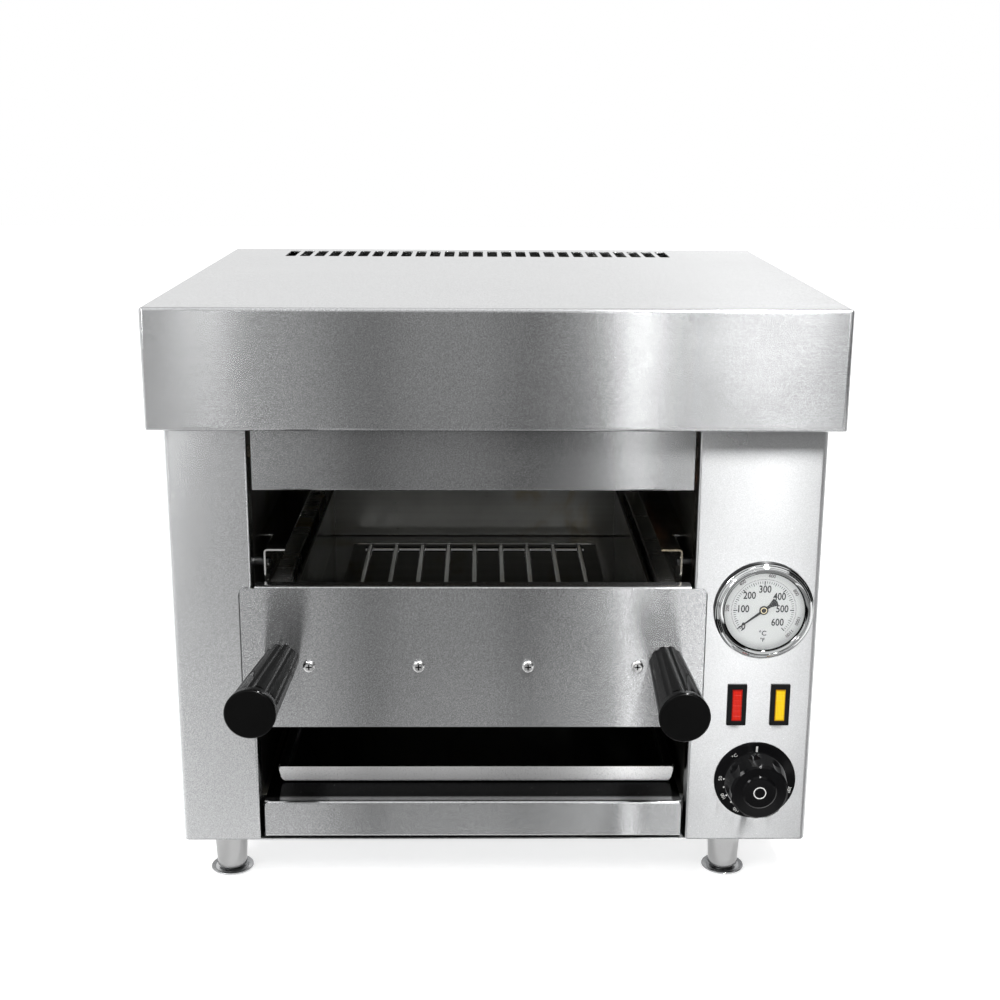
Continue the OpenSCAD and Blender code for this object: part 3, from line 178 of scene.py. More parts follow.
class MelterPlastics(bpy.types.PropertyGroup):
    """Handles, knob and lamps"""

    bakelite: colour_setting(
        "Bakelite", "Colour of the handles", (0.003, 0.003, 0.003, 1)
    )
    plastic: colour_setting(
        "Plastic", "Colour of knob and lamp housings", (0.005, 0.005, 0.0055, 1)
    )
    red: colour_setting("Red lens", "Colour of the left lamp", (0.58, 0.012, 0.002, 1))
    yellow: colour_setting(
        "Yellow lens", "Colour of the right lamp", (0.78, 0.52, 0.005, 1)
    )


class MelterPrint(bpy.types.PropertyGroup):
    """Printing on the thermometer's dial and on the knob"""

    ink: colour_setting("Ink", "Colour of the dial's print", (0.012, 0.012, 0.014, 1))
    paint: colour_setting(
        "Paint", "Colour of the knob's printing", (0.78, 0.78, 0.76, 1)
    )
    thickness: length_setting("Thickness", "How far printing stands proud", 0.08 * MM)
    scale_radius: length_setting(
        "Scale radius", "Radius of the dial's main scale", 25.4 * MM
    )
    outer_radius: length_setting(
        "Outer radius", "Radius of the dial's fine outer scale", 27.4 * MM
    )
    number_size: length_setting("Number size", "Height of the dial's numbers", 8.8 * MM)


class MelterStage(bpy.types.PropertyGroup):
    """Floor, lights and camera"""

    floor: colour_setting("Floor", "Colour of the floor", (0.84, 0.84, 0.84, 1))
    focal: number_setting("Focal length", "Lens, in millimetres", 54.08, min=10)
    camera: bpy.props.FloatVectorProperty(
        name="Camera",
        description="Place of the camera",
        default=(-0.013623, -1.373283, 0.670115),
        size=3,
        subtype="TRANSLATION",
        unit="LENGTH",
    )
    pitch: angle_setting("Pitch", "How far the camera looks down", 14.82)
    yaw: angle_setting("Yaw", "How far the camera is turned to the right", 0.787)
    roll: angle_setting("Roll", "How far the camera is tilted to one side", 0.297)


# --- Modelling helpers ---


def set_mode(mode):
    bpy.ops.object.mode_set(mode=mode)


def deselect_all():
    if bpy.context.object and bpy.context.object.mode != "OBJECT":
        set_mode("OBJECT")
    bpy.ops.object.select_all(action="DESELECT")


def pick(*objects):
    """Select these objects only, with the last one active"""
    deselect_all()
    for obj in objects:
        obj.select_set(True)
    bpy.context.view_layer.objects.active = objects[-1]


def apply_place(obj):
    pick(obj)
    bpy.ops.object.transform_apply(location=True, rotation=True, scale=True)


def join(objects, name):
    """One object made of several"""
    pick(*objects)
    if len(objects) > 1:
        bpy.ops.object.join()
    obj = bpy.context.object
    obj.name = obj.data.name = name
    return obj


def settle(obj, body, material):
    """Put a finished piece on its body, with its finish"""
    obj.data.materials.clear()
    obj.data.materials.append(material)
    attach(obj, body)
    return obj


def turned_copies(obj, centre, angles):
    """Copies of obj, turned about an axis along Y through centre, in its stead"""
    made = []
    for angle in angles:
        copy = obj.copy()
        copy.data = obj.data.copy()
        bpy.context.collection.objects.link(copy)
        turn = Matrix.Rotation(-angle, 4, "Y")
        copy.data.transform(
            Matrix.Translation(centre) @ turn @ Matrix.Translation(-centre)
        )
        made.append(copy)
    bpy.data.objects.remove(obj)
    return made


def smooth_by_angle(obj, degrees):
    pick(obj)
    bpy.ops.object.shade_smooth_by_angle(angle=math.radians(degrees))


def bevel_edges(obj, width, segments=2, degrees=40):
    pick(obj)
    bevel = obj.modifiers.new("edges", "BEVEL")
    bevel.width = width
    bevel.segments = segments
    bevel.limit_method = "ANGLE"
    bevel.angle_limit = math.radians(degrees)
    bevel.use_clamp_overlap = True
    bpy.ops.object.modifier_apply(modifier=bevel.name)


def edged_copy(node, name, width, degrees=40):
    """A copy of a CAD node with its corners merged and its sharp edges broken"""
    mesh = NODES[node].data.copy()
    obj = bpy.data.objects.new(name, mesh)
    mesh.name = name
    bpy.context.collection.objects.link(obj)
    pick(obj)
    bpy.ops.mesh.customdata_custom_splitnormals_clear()
    set_mode("EDIT")
    bpy.ops.mesh.select_all(action="SELECT")
    bpy.ops.mesh.remove_doubles(threshold=1e-6)
    bpy.ops.mesh.mark_sharp(clear=True)
    bpy.ops.mesh.dissolve_limited(angle_limit=math.radians(0.2))
    set_mode("OBJECT")
    bevel_edges(obj, width, 2, degrees)
    smooth_by_angle(obj, 32)
    pick(obj)
    weighted = obj.modifiers.new("normals", "WEIGHTED_NORMAL")
    weighted.keep_sharp = True
    bpy.ops.object.modifier_apply(modifier=weighted.name)
    body = NODES[node]["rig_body"]
    settle(obj, body, NODES[node].data.materials[0])
    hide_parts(node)
    return obj


def lean(obj, near, far):
    """Slide a grip's end on the plate by near and its free end by far: across, up"""
    ys = [v.co.y for v in obj.data.vertices]
    back, front = max(ys), min(ys)
    for v in obj.data.vertices:
        share = (back - v.co.y) / (back - front)
        v.co.x += near[0] + (far[0] - near[0]) * share
        v.co.z += near[1] + (far[1] - near[1]) * share


# --- Shader helpers ---


def add(tree, kind, inputs=None, **settings):
    """A new shader node; inputs are values, or sockets to link from"""
    node = tree.nodes.new("ShaderNode" + kind)
    for key, value in settings.items():
        setattr(node, key, value)
    for key, value in (inputs or {}).items():
        if isinstance(value, bpy.types.NodeSocket):
            tree.links.new(value, node.inputs[key])
        else:
            node.inputs[key].default_value = value
    return node


def calc(tree, operation, *values, clamp=False):
    node = add(tree, "Math", dict(enumerate(values)), operation=operation)
    node.use_clamp = clamp
    return node.outputs[0]


def times(tree, a, b):
    return calc(tree, "MULTIPLY", a, b)


def plus(tree, a, b):
    return calc(tree, "ADD", a, b)


def minus(tree, a, b):
    return calc(tree, "SUBTRACT", a, b)


def split(tree, vector):
    """The three parts of a vector, by name"""
    return add(tree, "SeparateXYZ", {0: vector}).outputs


def combine(tree, x, y, z):
    return add(tree, "CombineXYZ", {0: x, 1: y, 2: z}).outputs[0]


def vector(tree, operation, a, b=(0, 0, 0)):
    return add(tree, "VectorMath", {0: a, 1: b}, operation=operation).outputs[0]


def distance(tree, a, b=(0, 0, 0)):
    node = add(tree, "VectorMath", {0: a, 1: b}, operation="DISTANCE")
    return node.outputs["Value"]


def noise(tree, place, scale, detail=2.0, **more):
    """Height of a noise texture; more gives its other inputs"""
    inputs = {"Vector": place, "Scale": scale, "Detail": detail, **more}
    return add(tree, "TexNoise", inputs).outputs[0]


def grey(level):
    return (level, level, level, 1)


def scaled(colour, factor):
    """A colour made brighter or darker"""
    return tuple(factor * c for c in colour[:3]) + (1,)


def spread(tree, value, low, high):
    """Value from 0..1 carried to low..high"""
    node = add(tree, "MapRange", {"Value": value, "To Min": low, "To Max": high})
    return node.outputs[0]


def step(tree, value, start, end):
    """0 below start, 1 above end, smooth between"""
    limits = {"Value": value, "From Min": start, "From Max": end}
    node = add(tree, "MapRange", limits, interpolation_type="SMOOTHSTEP")
    return node.outputs[0]


def mixed(tree, factor, a, b, **settings):
    """Colour a where factor is 0, colour b where it is 1"""
    inputs = {0: factor, 6: a, 7: b}
    return add(tree, "Mix", inputs, data_type="RGBA", **settings).outputs[2]


def tint(tree, colour, factor):
    """Colour times a number"""
    level = add(tree, "CombineColor", {0: factor, 1: factor, 2: factor}).outputs[0]
    return mixed(tree, 1.0, colour, level, blend_type="MULTIPLY")


def feed(tree, socket, value):
    if isinstance(value, bpy.types.NodeSocket):
        tree.links.new(value, socket)
    else:
        socket.default_value = value


def new_group(name, inputs, outputs):
    """An empty node group for numbers; inputs map names to their defaults"""
    tree = bpy.data.node_groups.new(name, "ShaderNodeTree")
    kind = "NodeSocketFloat"
    for key, default in inputs.items():
        socket = tree.interface.new_socket(key, in_out="INPUT", socket_type=kind)
        socket.default_value = default
    for key in outputs:
        tree.interface.new_socket(key, in_out="OUTPUT", socket_type=kind)
    source = tree.nodes.new("NodeGroupInput").outputs
    sink = tree.nodes.new("NodeGroupOutput").inputs
    return tree, source, sink


def use(tree, name, **inputs):
    """Outputs of a node group placed in a material"""
    node = tree.nodes.new("ShaderNodeGroup")
    node.node_tree = bpy.data.node_groups[name]
    for key, value in inputs.items():
        feed(tree, node.inputs[key], value)
    return node.outputs


def new_material(name):
    """A material with a Principled shader and its object coordinates"""
    material = bpy.data.materials.new(name)
    material.use_nodes = True
    tree = material.node_tree
    shader = tree.nodes["Principled BSDF"]
    place = add(tree, "TexCoord").outputs["Object"]
    return material, tree, shader, place


def set_shader(shader, **values):
    for key, value in values.items():
        feed(shader.id_data, shader.inputs[key.replace("_", " ")], value)


# --- Shared effects ---


def facing(tree):
    """1 on flat faces, and 1 on upright ones"""
    normal = split(tree, add(tree, "NewGeometry").outputs["Normal"])
    steep = calc(tree, "ABSOLUTE", normal["Z"])
    flat = calc(tree, "GREATER_THAN", steep, LEVEL_FACE)
    return flat, minus(tree, 1.0, flat)


def make_brushing_group():
    """Brush marks along the sheet: level on upright faces, along X on flat ones"""
    tree, source, sink = new_group(
        "brushing", {"Across": 1100.0, "Along": 28.0}, ("Marks", "Streaks")
    )
    place = split(tree, add(tree, "TexCoord").outputs["Object"])
    flat, upright = facing(tree)
    along = calc(tree, "MULTIPLY_ADD", place["Y"], upright, place["X"])
    across = plus(tree, times(tree, place["Z"], upright), times(tree, place["Y"], flat))
    u = times(tree, along, source["Along"])
    v = times(tree, across, source["Across"])
    fine = combine(tree, u, v, flat)
    broad = combine(tree, times(tree, u, 0.35), times(tree, v, 0.30), 4.0)
    feed(tree, sink["Marks"], noise(tree, fine, 1.0, 3.0, Roughness=0.65))
    feed(tree, sink["Streaks"], noise(tree, broad, 1.0, Roughness=0.6))


def make_smudge_group():
    """Cloudy handling marks and small bright specks"""
    tree, source, sink = new_group(
        "smudges", {"Scale": 9.0, "Speck scale": 430.0}, ("Cloud", "Specks")
    )
    place = add(tree, "TexCoord").outputs["Object"]
    cloud = noise(tree, place, source["Scale"], 5.0, Roughness=0.55, Distortion=0.4)
    cells = add(tree, "TexVoronoi", {"Vector": place, "Scale": source["Speck scale"]})
    chance = add(tree, "SeparateColor", {0: cells.outputs["Color"]}).outputs[0]
    few = calc(tree, "GREATER_THAN", chance, 0.975)
    dot = calc(tree, "LESS_THAN", cells.outputs["Distance"], 0.16)
    feed(tree, sink["Cloud"], cloud)
    feed(tree, sink["Specks"], times(tree, few, dot))


def make_tube_scratch_group():
    """Fine marks round an upright or level turned part"""
    tree, source, sink = new_group(
        "turning marks", {"Across": 2500.0, "Axis": 2.0}, ("Marks",)
    )
    place = split(tree, add(tree, "TexCoord").outputs["Object"])
    upright = calc(tree, "GREATER_THAN", source["Axis"], 1.5)
    level = minus(tree, 1.0, upright)
    along = plus(tree, times(tree, place["Z"], upright), times(tree, place["Y"], level))
    inputs = {"W": times(tree, along, source["Across"]), "Scale": 1.0}
    marks = add(tree, "TexNoise", inputs, noise_dimensions="1D")
    feed(tree, sink["Marks"], marks.outputs[0])


# --- Materials ---


def bump(tree, height, strength, distance=0.1 * MM, on=None):
    """A normal that follows height, laid over another normal where one is given"""
    inputs = {"Height": height, "Strength": strength, "Distance": distance}
    if on:
        inputs["Normal"] = on
    return add(tree, "Bump", inputs).outputs[0]


def leaning(tree, height, lean_by, twist):
    """The surface's normal turned a little, by twist more for each metre of height"""
    normal = add(tree, "NewGeometry").outputs["Normal"]
    turn = calc(tree, "MULTIPLY_ADD", height, twist, lean_by[0])
    lean = combine(tree, turn, 0.0, lean_by[1])
    return vector(tree, "NORMALIZE", vector(tree, "ADD", normal, lean))


def across_grain(tree):
    """Direction across the brush marks, up or back, and 1 on flat faces"""
    flat, upright = facing(tree)
    return combine(tree, 0.0, flat, upright), flat


def cut_edge(tree, across, up):
    """1 in the drawer plate's rim at its sides, and at its top over the columns, where
    the shadow of the gap to the columns is painted
    """
    low, high = PLATE_LOW, PLATE_HIGH
    from_middle = calc(tree, "ABSOLUTE", minus(tree, across, (low.x + high.x) / 2))
    inwards = minus(tree, (high.x - low.x) / 2, from_middle)
    side = step(tree, inwards, RIM, 0.5 * RIM)
    top = times(
        tree,
        step(tree, minus(tree, high.z, up), RIM, 0.5 * RIM),
        step(tree, inwards, PLATE_LAP, PLATE_LAP - RIM),
    )
    return calc(tree, "MAXIMUM", side, top)


def brushed(
    name,
    colour,
    roughness,
    grain,
    contrast=0.65,
    specks=0.5,
    inside=1.0,
    shade_from=APRON_FRONT + 6 * MM,
    ends=0.0,
    lean_by=(0, 0),
    twist=0.0,
    rim=0.0,
):
    """Brushed sheet steel, which smears reflections across its grain.

    inside darkens the sheet and its reflections behind the depth shade_from, as painted
    shade in the recess there, ends makes the brush marks plainer towards the machine's
    sides, lean_by is how far the sheet's faces turn to the right and up from where they
    were drawn, twist is how much the turn to the right grows with each metre of height,
    and rim is how dark the painted shadow of the gap along the drawer plate's rim is
    """
    material, tree, shader, place = new_material(name)
    marks, streaks = use(tree, "brushing")
    cloud, dots = use(tree, "smudges")
    grit = noise(tree, place, GRIT)
    at = split(tree, place)
    # painted shade: the sheet and its reflections darken behind shade_from, inside the
    # recess
    recess_shade = step(tree, at["Y"], shade_from, shade_from + 6 * MM)
    tone = spread(tree, recess_shade, 1.0, inside)
    for effect, amount in (
        (marks, contrast * 0.05),
        (streaks, contrast * 0.03),
        (grit, contrast),
        (cloud, 0.04),
    ):
        tone = times(tree, tone, spread(tree, effect, 1 - amount, 1 + amount))
    if rim:
        # painted shadow of the gap between the drawer plate and the columns, along its
        # rim
        edge = cut_edge(tree, at["X"], at["Z"])
        tone = times(tree, tone, spread(tree, edge, 1.0, 1.0 - rim))
    if ends:
        side = step(tree, calc(tree, "ABSOLUTE", at["X"]), *HOOD_ENDS)
        lines = times(tree, minus(tree, marks, 0.5), side)
        tone = times(tree, tone, calc(tree, "MULTIPLY_ADD", lines, ends, 1.0))
    across, flat = across_grain(tree)
    rough = times(
        tree,
        spread(tree, cloud, roughness - 0.03, roughness + 0.03),
        spread(tree, flat, 1.0, FLAT_SHINE),
    )
    waves = noise(tree, place, WAVES, 1.0)
    relief = bump(tree, waves, 1.0, SHEET_WAVE, leaning(tree, at["Z"], lean_by, twist))
    set_shader(
        shader,
        Base_Color=mixed(
            tree, times(tree, dots, specks), tint(tree, colour, tone), grey(0.95)
        ),
        Metallic=1.0,
        # painted shade: reflections dim behind that depth too
        Specular_Tint=mixed(tree, recess_shade, WHITE, grey(0.35 + 0.65 * inside)),
        Roughness=rough,
        Anisotropic=1.0,
        Tangent=across,
        Normal=bump(tree, marks, grain, 0.02 * MM, relief),
    )
    return material


def smoked(name, colour, roughness, stain=0.35, dull_and_lit_behind=None):
    """Sheet steel inside the cavity, dulled and stained by soot; behind a given depth
    it is duller and carries painted light
    """
    material, tree, shader, place = new_material(name)
    marks, streaks = use(tree, "brushing", Across=600.0, Along=7.0)
    cloud = use(tree, "smudges", Scale=14.0)["Cloud"]
    tone = times(
        tree,
        spread(tree, streaks, 0.85, 1.15),
        spread(tree, cloud, 1 - stain, 1 + stain),
    )
    warm = (colour[0] * 0.72, colour[1] * 0.60, colour[2] * 0.40, 1)
    dull = 0.0
    if dull_and_lit_behind:
        depth = split(tree, place)["Y"]
        dull = step(tree, depth, dull_and_lit_behind - 2 * MM, dull_and_lit_behind + 1 * MM)
        # painted light: behind that depth the tone is raised to 1.5 times
        tone = times(tree, tone, spread(tree, dull, 1.0, 1.5))
    rough = spread(tree, cloud, roughness - 0.12, roughness + 0.12)
    rough = calc(tree, "MULTIPLY_ADD", dull, 0.16, rough)
    set_shader(
        shader,
        Base_Color=tint(
            tree, mixed(tree, step(tree, cloud, 0.50, 0.72), colour, warm), tone
        ),
        Metallic=1.0,
        Roughness=plus(tree, rough, spread(tree, marks, -0.05, 0.05)),
        Normal=bump(tree, marks, 0.2),
    )
    return material


def bezel_grooves(tree, place):
    """1 at the bezel's outer foot and in the groove next to the glass, where shade is
    painted
    """
    ring = vector(tree, "MULTIPLY", vector(tree, "SUBTRACT", place, DIAL), (1, 0, 1))
    away = distance(tree, ring)
    foot = step(tree, away, BEZEL_RADIUS - 0.9 * MM, BEZEL_RADIUS - 0.3 * MM)
    groove = step(tree, away, DIAL_LIP + 1.6 * MM, DIAL_LIP + 0.6 * MM)
    return calc(tree, "MAXIMUM", foot, groove)


def cross_slots(tree, place):
    """1 in the cross recesses of the front plate's screws, where shade is painted"""
    low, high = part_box("drawer_screws")
    head = high.z - low.z
    pitch = (high.x - low.x - head) / 3
    at = split(tree, place)
    across = calc(
        tree, "WRAP", minus(tree, at["X"], low.x + head / 2), pitch / 2, -pitch / 2
    )
    up = minus(tree, at["Z"], (low.z + high.z) / 2)
    away = distance(tree, combine(tree, across, 0.0, up))
    near = calc(tree, "LESS_THAN", away, head * 0.26)
    deep = calc(tree, "GREATER_THAN", at["Y"], low.y + 0.5 * MM)
    return times(tree, near, deep)


def polished(name, colour, roughness, axis=0.0, marks_depth=0.05, recesses=None):
    """Bright turned or drawn metal with fine marks round it, with painted shade in its
    recesses
    """
    material, tree, shader, place = new_material(name)
    (marks,) = use(tree, "turning marks", Axis=axis)
    cloud = use(tree, "smudges", Scale=22.0)["Cloud"]
    surface = tint(tree, colour, spread(tree, cloud, 0.88, 1.10))
    if recesses:
        # painted shade: near black in the recesses
        surface = mixed(tree, recesses(tree, place), surface, grey(0.015))
    set_shader(
        shader,
        Base_Color=surface,
        Metallic=1.0,
        Roughness=calc(
            tree,
            "ADD",
            spread(tree, cloud, roughness * 0.6, roughness * 1.4),
            spread(tree, marks, -0.03, 0.03),
            clamp=True,
        ),
        Normal=bump(tree, marks, marks_depth, 0.05 * MM),
    )
    return material


def moulded(name, colour, roughness, texture=0.15, scale=1400.0, ior=1.2):
    """Moulded plastic with a fine texture and faint handling marks"""
    material, tree, shader, place = new_material(name)
    cloud = use(tree, "smudges", Scale=30.0)["Cloud"]
    grains = noise(tree, place, scale)
    set_shader(
        shader,
        Base_Color=tint(tree, colour, spread(tree, cloud, 0.75, 1.25)),
        Roughness=spread(tree, cloud, roughness * 0.75, roughness * 1.25),
        IOR=ior,
        Normal=bump(tree, grains, texture, 0.05 * MM),
    )
    return material


def fibrous(name, colour):
    """Mineral wool"""
    material, tree, shader, place = new_material(name)
    curls = noise(tree, place, 420.0, 6.0, Roughness=0.75, Distortion=2.5)
    cloud = use(tree, "smudges", Scale=25.0)["Cloud"]
    tone = times(tree, spread(tree, curls, 0.6, 1.25), spread(tree, cloud, 0.85, 1.1))
    set_shader(
        shader,
        Base_Color=tint(tree, colour, tone),
        Roughness=0.95,
        Sheen_Weight=0.3,
        Normal=bump(tree, curls, 0.9, 1.0 * MM),
    )
    return material


def fired(name, colour):
    """Glazed ceramic with small pits"""
    material, tree, shader, _ = new_material(name)
    cloud, dots = use(tree, "smudges", Scale=60.0, **{"Speck scale": 700.0})
    set_shader(
        shader,
        Base_Color=mixed(
            tree,
            times(tree, dots, 0.5),
            tint(tree, colour, spread(tree, cloud, 0.9, 1.05)),
            (0.35, 0.30, 0.22, 1),
        ),
        Roughness=spread(tree, cloud, 0.22, 0.42),
        Normal=bump(tree, cloud, 0.15),
    )
    return material


def heated_tube(name):
    """Oxidised element sheath, darker and mottled"""
    material, tree, shader, place = new_material(name)
    cloud = use(tree, "smudges", Scale=45.0)["Cloud"]
    scale = noise(tree, place, 900.0, 4.0, Roughness=0.7)
    olive = (0.075, 0.070, 0.048, 1)
    rust = (0.13, 0.085, 0.05, 1)
    set_shader(
        shader,
        Base_Color=tint(
            tree,
            mixed(tree, step(tree, cloud, 0.4, 0.65), olive, rust),
            spread(tree, scale, 0.7, 1.3),
        ),
        Metallic=0.6,
        Roughness=spread(tree, scale, 0.45, 0.75),
        Normal=bump(tree, scale, 0.4),
    )
    return material


def handle_bakelite(name, colour):
    """Glossy fluted grip with a duller disc on its end"""
    material, tree, shader, place = new_material(name)
    at = split(tree, place)
    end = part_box("left_handle")[0].y
    disc = calc(tree, "LESS_THAN", at["Y"], end + 0.5 * MM)
    cloud = use(tree, "smudges", Scale=35.0)["Cloud"]
    fine = noise(tree, place, 1800.0)
    gloss = spread(tree, cloud, 0.03, 0.09)
    dull = spread(tree, fine, 0.30, 0.42)
    roughness = add(tree, "Mix", {0: disc, 2: gloss, 3: dull}, data_type="FLOAT")
    set_shader(
        shader,
        Base_Color=tint(tree, colour, spread(tree, cloud, 0.7, 1.4)),
        Roughness=roughness.outputs[0],
        IOR=1.13,
        Normal=bump(tree, fine, 0.04, 0.05 * MM),
    )
    return material


def lens_plastic(name, colour, node):
    """Coloured lens with a darker rim and faint ribs behind its face"""
    material, tree, shader, place = new_material(name)
    at = split(tree, place)
    low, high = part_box(node)
    centre = (low + high) / 2
    side, up = (
        calc(tree, "ABSOLUTE", calc(tree, "DIVIDE", minus(tree, value, mid), half))
        for value, mid, half in (
            (at["X"], centre.x, high.x - centre.x),
            (at["Z"], centre.z, high.z - centre.z),
        )
    )
    rim = calc(tree, "MAXIMUM", step(tree, side, 0.72, 1.0), step(tree, up, 0.88, 1.0))
    ribs = add(
        tree,
        "TexWave",
        {"Vector": place, "Scale": 260.0, "Distortion": 0.2},
        bands_direction="X",
    ).outputs[1]
    deep = (colour[0] * 0.45, colour[1] * 0.30, colour[2] * 0.3, 1)
    tone = spread(tree, ribs, 0.86, 1.08)
    face = tint(tree, mixed(tree, rim, colour, deep), tone)
    set_shader(
        shader,
        Base_Color=face,
        Roughness=spread(tree, ribs, 0.14, 0.24),
        IOR=1.2,
        Emission_Color=face,
        Emission_Strength=0.25,
        Normal=bump(tree, ribs, 0.12),
    )
    return material


def clear_glass(name):
    """Cover glass with faint dust"""
    material, tree, shader, _ = new_material(name)
    cloud = use(tree, "smudges", Scale=40.0)["Cloud"]
    set_shader(
        shader,
        Base_Color=(0.97, 0.985, 0.98, 1),
        Roughness=spread(tree, cloud, 0.0, 0.004),
        Transmission_Weight=1.0,
        IOR=1.12,
    )
    return material


def dial_card(name):
    """Pale printed card, a little darker towards its edge, with painted shade of the
    bezel there
    """
    material, tree, shader, place = new_material(name)
    away = distance(tree, place, DIAL)
    paper = noise(tree, place, 2200.0, 3.0)
    # painted shade of the bezel: the card darkens towards its edge
    edge = step(tree, away, 26 * MM, 35 * MM)
    tone = times(tree, spread(tree, paper, 0.97, 1.03), spread(tree, edge, 1.0, 0.74))
    set_shader(
        shader,
        Base_Color=tint(tree, grey(0.40), tone),
        Roughness=0.45,
        Normal=bump(tree, paper, 0.05, 0.05 * MM),
    )
    return material


def printed(name, colour):
    """Printing ink with uneven cover"""
    material, tree, shader, place = new_material(name)
    speckle = noise(tree, place, 2600.0)
    set_shader(
        shader,
        Base_Color=tint(tree, colour, spread(tree, speckle, 0.8, 1.2)),
        Roughness=spread(tree, speckle, 0.4, 0.6),
    )
    return material


def threaded(name, colour, pitch, roughness):
    """Cut thread along Y, with painted shade in its grooves"""
    material, tree, shader, place = new_material(name)
    groove = add(
        tree,
        "TexWave",
        {"Vector": place, "Scale": 1 / (pitch * 20), "Distortion": 0.0},
        bands_direction="Y",
        wave_profile="TRI",
    ).outputs[1]
    cloud = use(tree, "smudges", Scale=50.0)["Cloud"]
    set_shader(
        shader,
        # painted shade: darker in the thread's grooves
        Base_Color=tint(
            tree,
            tint(tree, colour, spread(tree, cloud, 0.75, 1.15)),
            spread(tree, groove, 0.6, 1.05),
        ),
        Metallic=1.0,
        Roughness=spread(tree, cloud, roughness - 0.08, roughness + 0.12),
        Normal=bump(tree, groove, 0.8, 0.3 * MM),
    )
    return material


class MELTER_OT_finishes(bpy.types.Operator):
    """Give every CAD node its finish"""

    bl_idname = "melter.finishes"
    bl_label = "Finishes"

    def execute(self, context):
        make_brushing_group()
        make_smudge_group()
        make_tube_scratch_group()
        steel = context.scene.melter_steel
        plastics = context.scene.melter_plastics
        ink = tuple(context.scene.melter_print.ink)
        sheet, cavity = tuple(steel.colour), tuple(steel.cavity)
        bright = tuple(steel.polished)
        bakelite, plastic = tuple(plastics.bakelite), tuple(plastics.plastic)
        red, yellow = tuple(plastics.red), tuple(plastics.yellow)
        rough, grain = steel.roughness, steel.grain
        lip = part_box("crumb_tray")[0].y + 3 * MM
        turned = {"lean_by": (0.066, 0), "twist": -0.08}
        # painted light: the left column's steel is 1.36 times as light as the body's,
        # for the light falling on that side
        lit_column = brushed(
            "left column steel", scaled(sheet, 1.36), rough, grain, 0.45, **turned
        )
        # painted shade: inside the tray, behind its lip, the sheet is darkened
        recess_shade = {"inside": 0.12, "shade_from": lip}
        # painted light: the tray's steel is full white, to light its lip in the plate's
        # shade
        tray_steel = brushed(
            "tray steel", grey(1.0), 0.28, grain, lean_by=(0, 0.35), **recess_shade
        )
        finishes = {
            "hood": brushed("hood steel", sheet, rough, grain, ends=0.4),
            # painted shadow of the gap to the columns along the plate's rim
            "drawer_front": brushed("plate steel", sheet, rough, grain, 0.75, rim=0.85),
            # painted shade: the upper panel's steel is 0.76 as light as the body's, for
            # the hood's shade over it
            "upper_front_panel": brushed(
                "panel steel", scaled(sheet, 0.76), rough, grain
            ),
            # painted shade: the apron's floor behind its front is darkened under the
            # drawer
            "floor_and_apron": brushed("apron steel", sheet, rough, grain, inside=0.07),
            "right_column": brushed(
                "right column steel", sheet, rough + 0.03, grain, 0.3
            ),
            "left_column": lit_column,
            "back_panel base_plate": brushed("plain sheet", sheet, rough + 0.1, grain),
            "crumb_tray": tray_steel,
            # painted shade: the cavity's walls are painted dark for the shade inside
            CAVITY_NODES: smoked("cavity steel", cavity, 0.42),
            # painted shade: the pan's dark colour stands in for the shade inside the
            # drawer
            "drawer_pan": smoked(
                "pan steel", (0.20, 0.20, 0.19, 1), 0.17, 0.25, PAN_DULL_AND_LIT_FROM
            ),
            "left_rail right_rail": smoked(
                "rail steel", (0.72, 0.72, 0.70, 1), 0.17, 0.12
            ),
            "left_runner right_runner": smoked(
                "runner steel", (0.92, 0.92, 0.90, 1), 0.26, 0.08
            ),
            "reflector": smoked("reflector steel", (0.50, 0.48, 0.42, 1), 0.22, 0.25),
            "wire_rack": polished("rack steel", grey(0.95), 0.04),
            # painted shade in the cross recesses of the front screws
            "drawer_screws": polished(
                "front screw steel", bright, 0.24, recesses=cross_slots
            ),
            "handle_studs panel_screws thermostat_shaft": polished(
                "fastener steel", bright, 0.24
            ),
            "rail_spacers rail_screws": polished("dull zinc", grey(0.05), 0.34),
            # painted shade at the bezel's foot and in its groove by the glass
            "gauge_bezel": polished(
                "bezel chrome", CHROME, 0.05, 0.0, 0.01, bezel_grooves
            ),
            "front_left_leg front_right_leg rear_left_leg rear_right_leg": polished(
                "leg steel", grey(0.36), 0.14, UPRIGHT_AXIS
            ),
            "front_left_foot front_right_foot rear_left_foot rear_right_foot": polished(
                "foot steel", sheet, 0.26, UPRIGHT_AXIS, 0.1
            ),
            "gauge_case": smoked("case steel", (0.34, 0.34, 0.33, 1), 0.4),
            "left_handle right_handle": handle_bakelite("handle bakelite", bakelite),
            "knob": moulded("knob plastic", plastic, 0.12, 0.12, ior=1.16),
            "red_lamp yellow_lamp thermostat cable_gland": moulded(
                "housing plastic", plastic, 0.30, 0.3
            ),
            "red_lens": lens_plastic("red lens plastic", red, "red_lens"),
            "yellow_lens": lens_plastic("yellow lens plastic", yellow, "yellow_lens"),
            "gauge_glass": clear_glass("cover glass"),
            "gauge_dial": dial_card("dial card"),
            "gauge_pointer": printed("pointer paint", ink),
            # painted shade: the wool is painted darker than its own tone, for the shade
            # behind the vent slots
            "top_insulation control_insulation": fibrous(
                "mineral wool", (0.34, 0.32, 0.27, 1)
            ),
            "terminal_beads terminal_block": fired(
                "white ceramic", (0.78, 0.76, 0.70, 1)
            ),
            "front_element second_element third_element rear_element": heated_tube(
                "element sheath"
            ),
            "element_bushings": polished("brass", BRASS, 0.28),
            "gauge_probe thermostat_probe": polished(
                "copper tube", (0.62, 0.33, 0.20, 1), 0.3
            ),
            "earth_stud": threaded("brass thread", BRASS, 1.0 * MM, 0.28),
        }
        for nodes, finish in finishes.items():
            for name in nodes.split():
                materials = NODES[name].data.materials
                materials.clear()
                materials.append(finish)
        NODES["gauge_glass"].visible_shadow = False
        return {"FINISHED"}


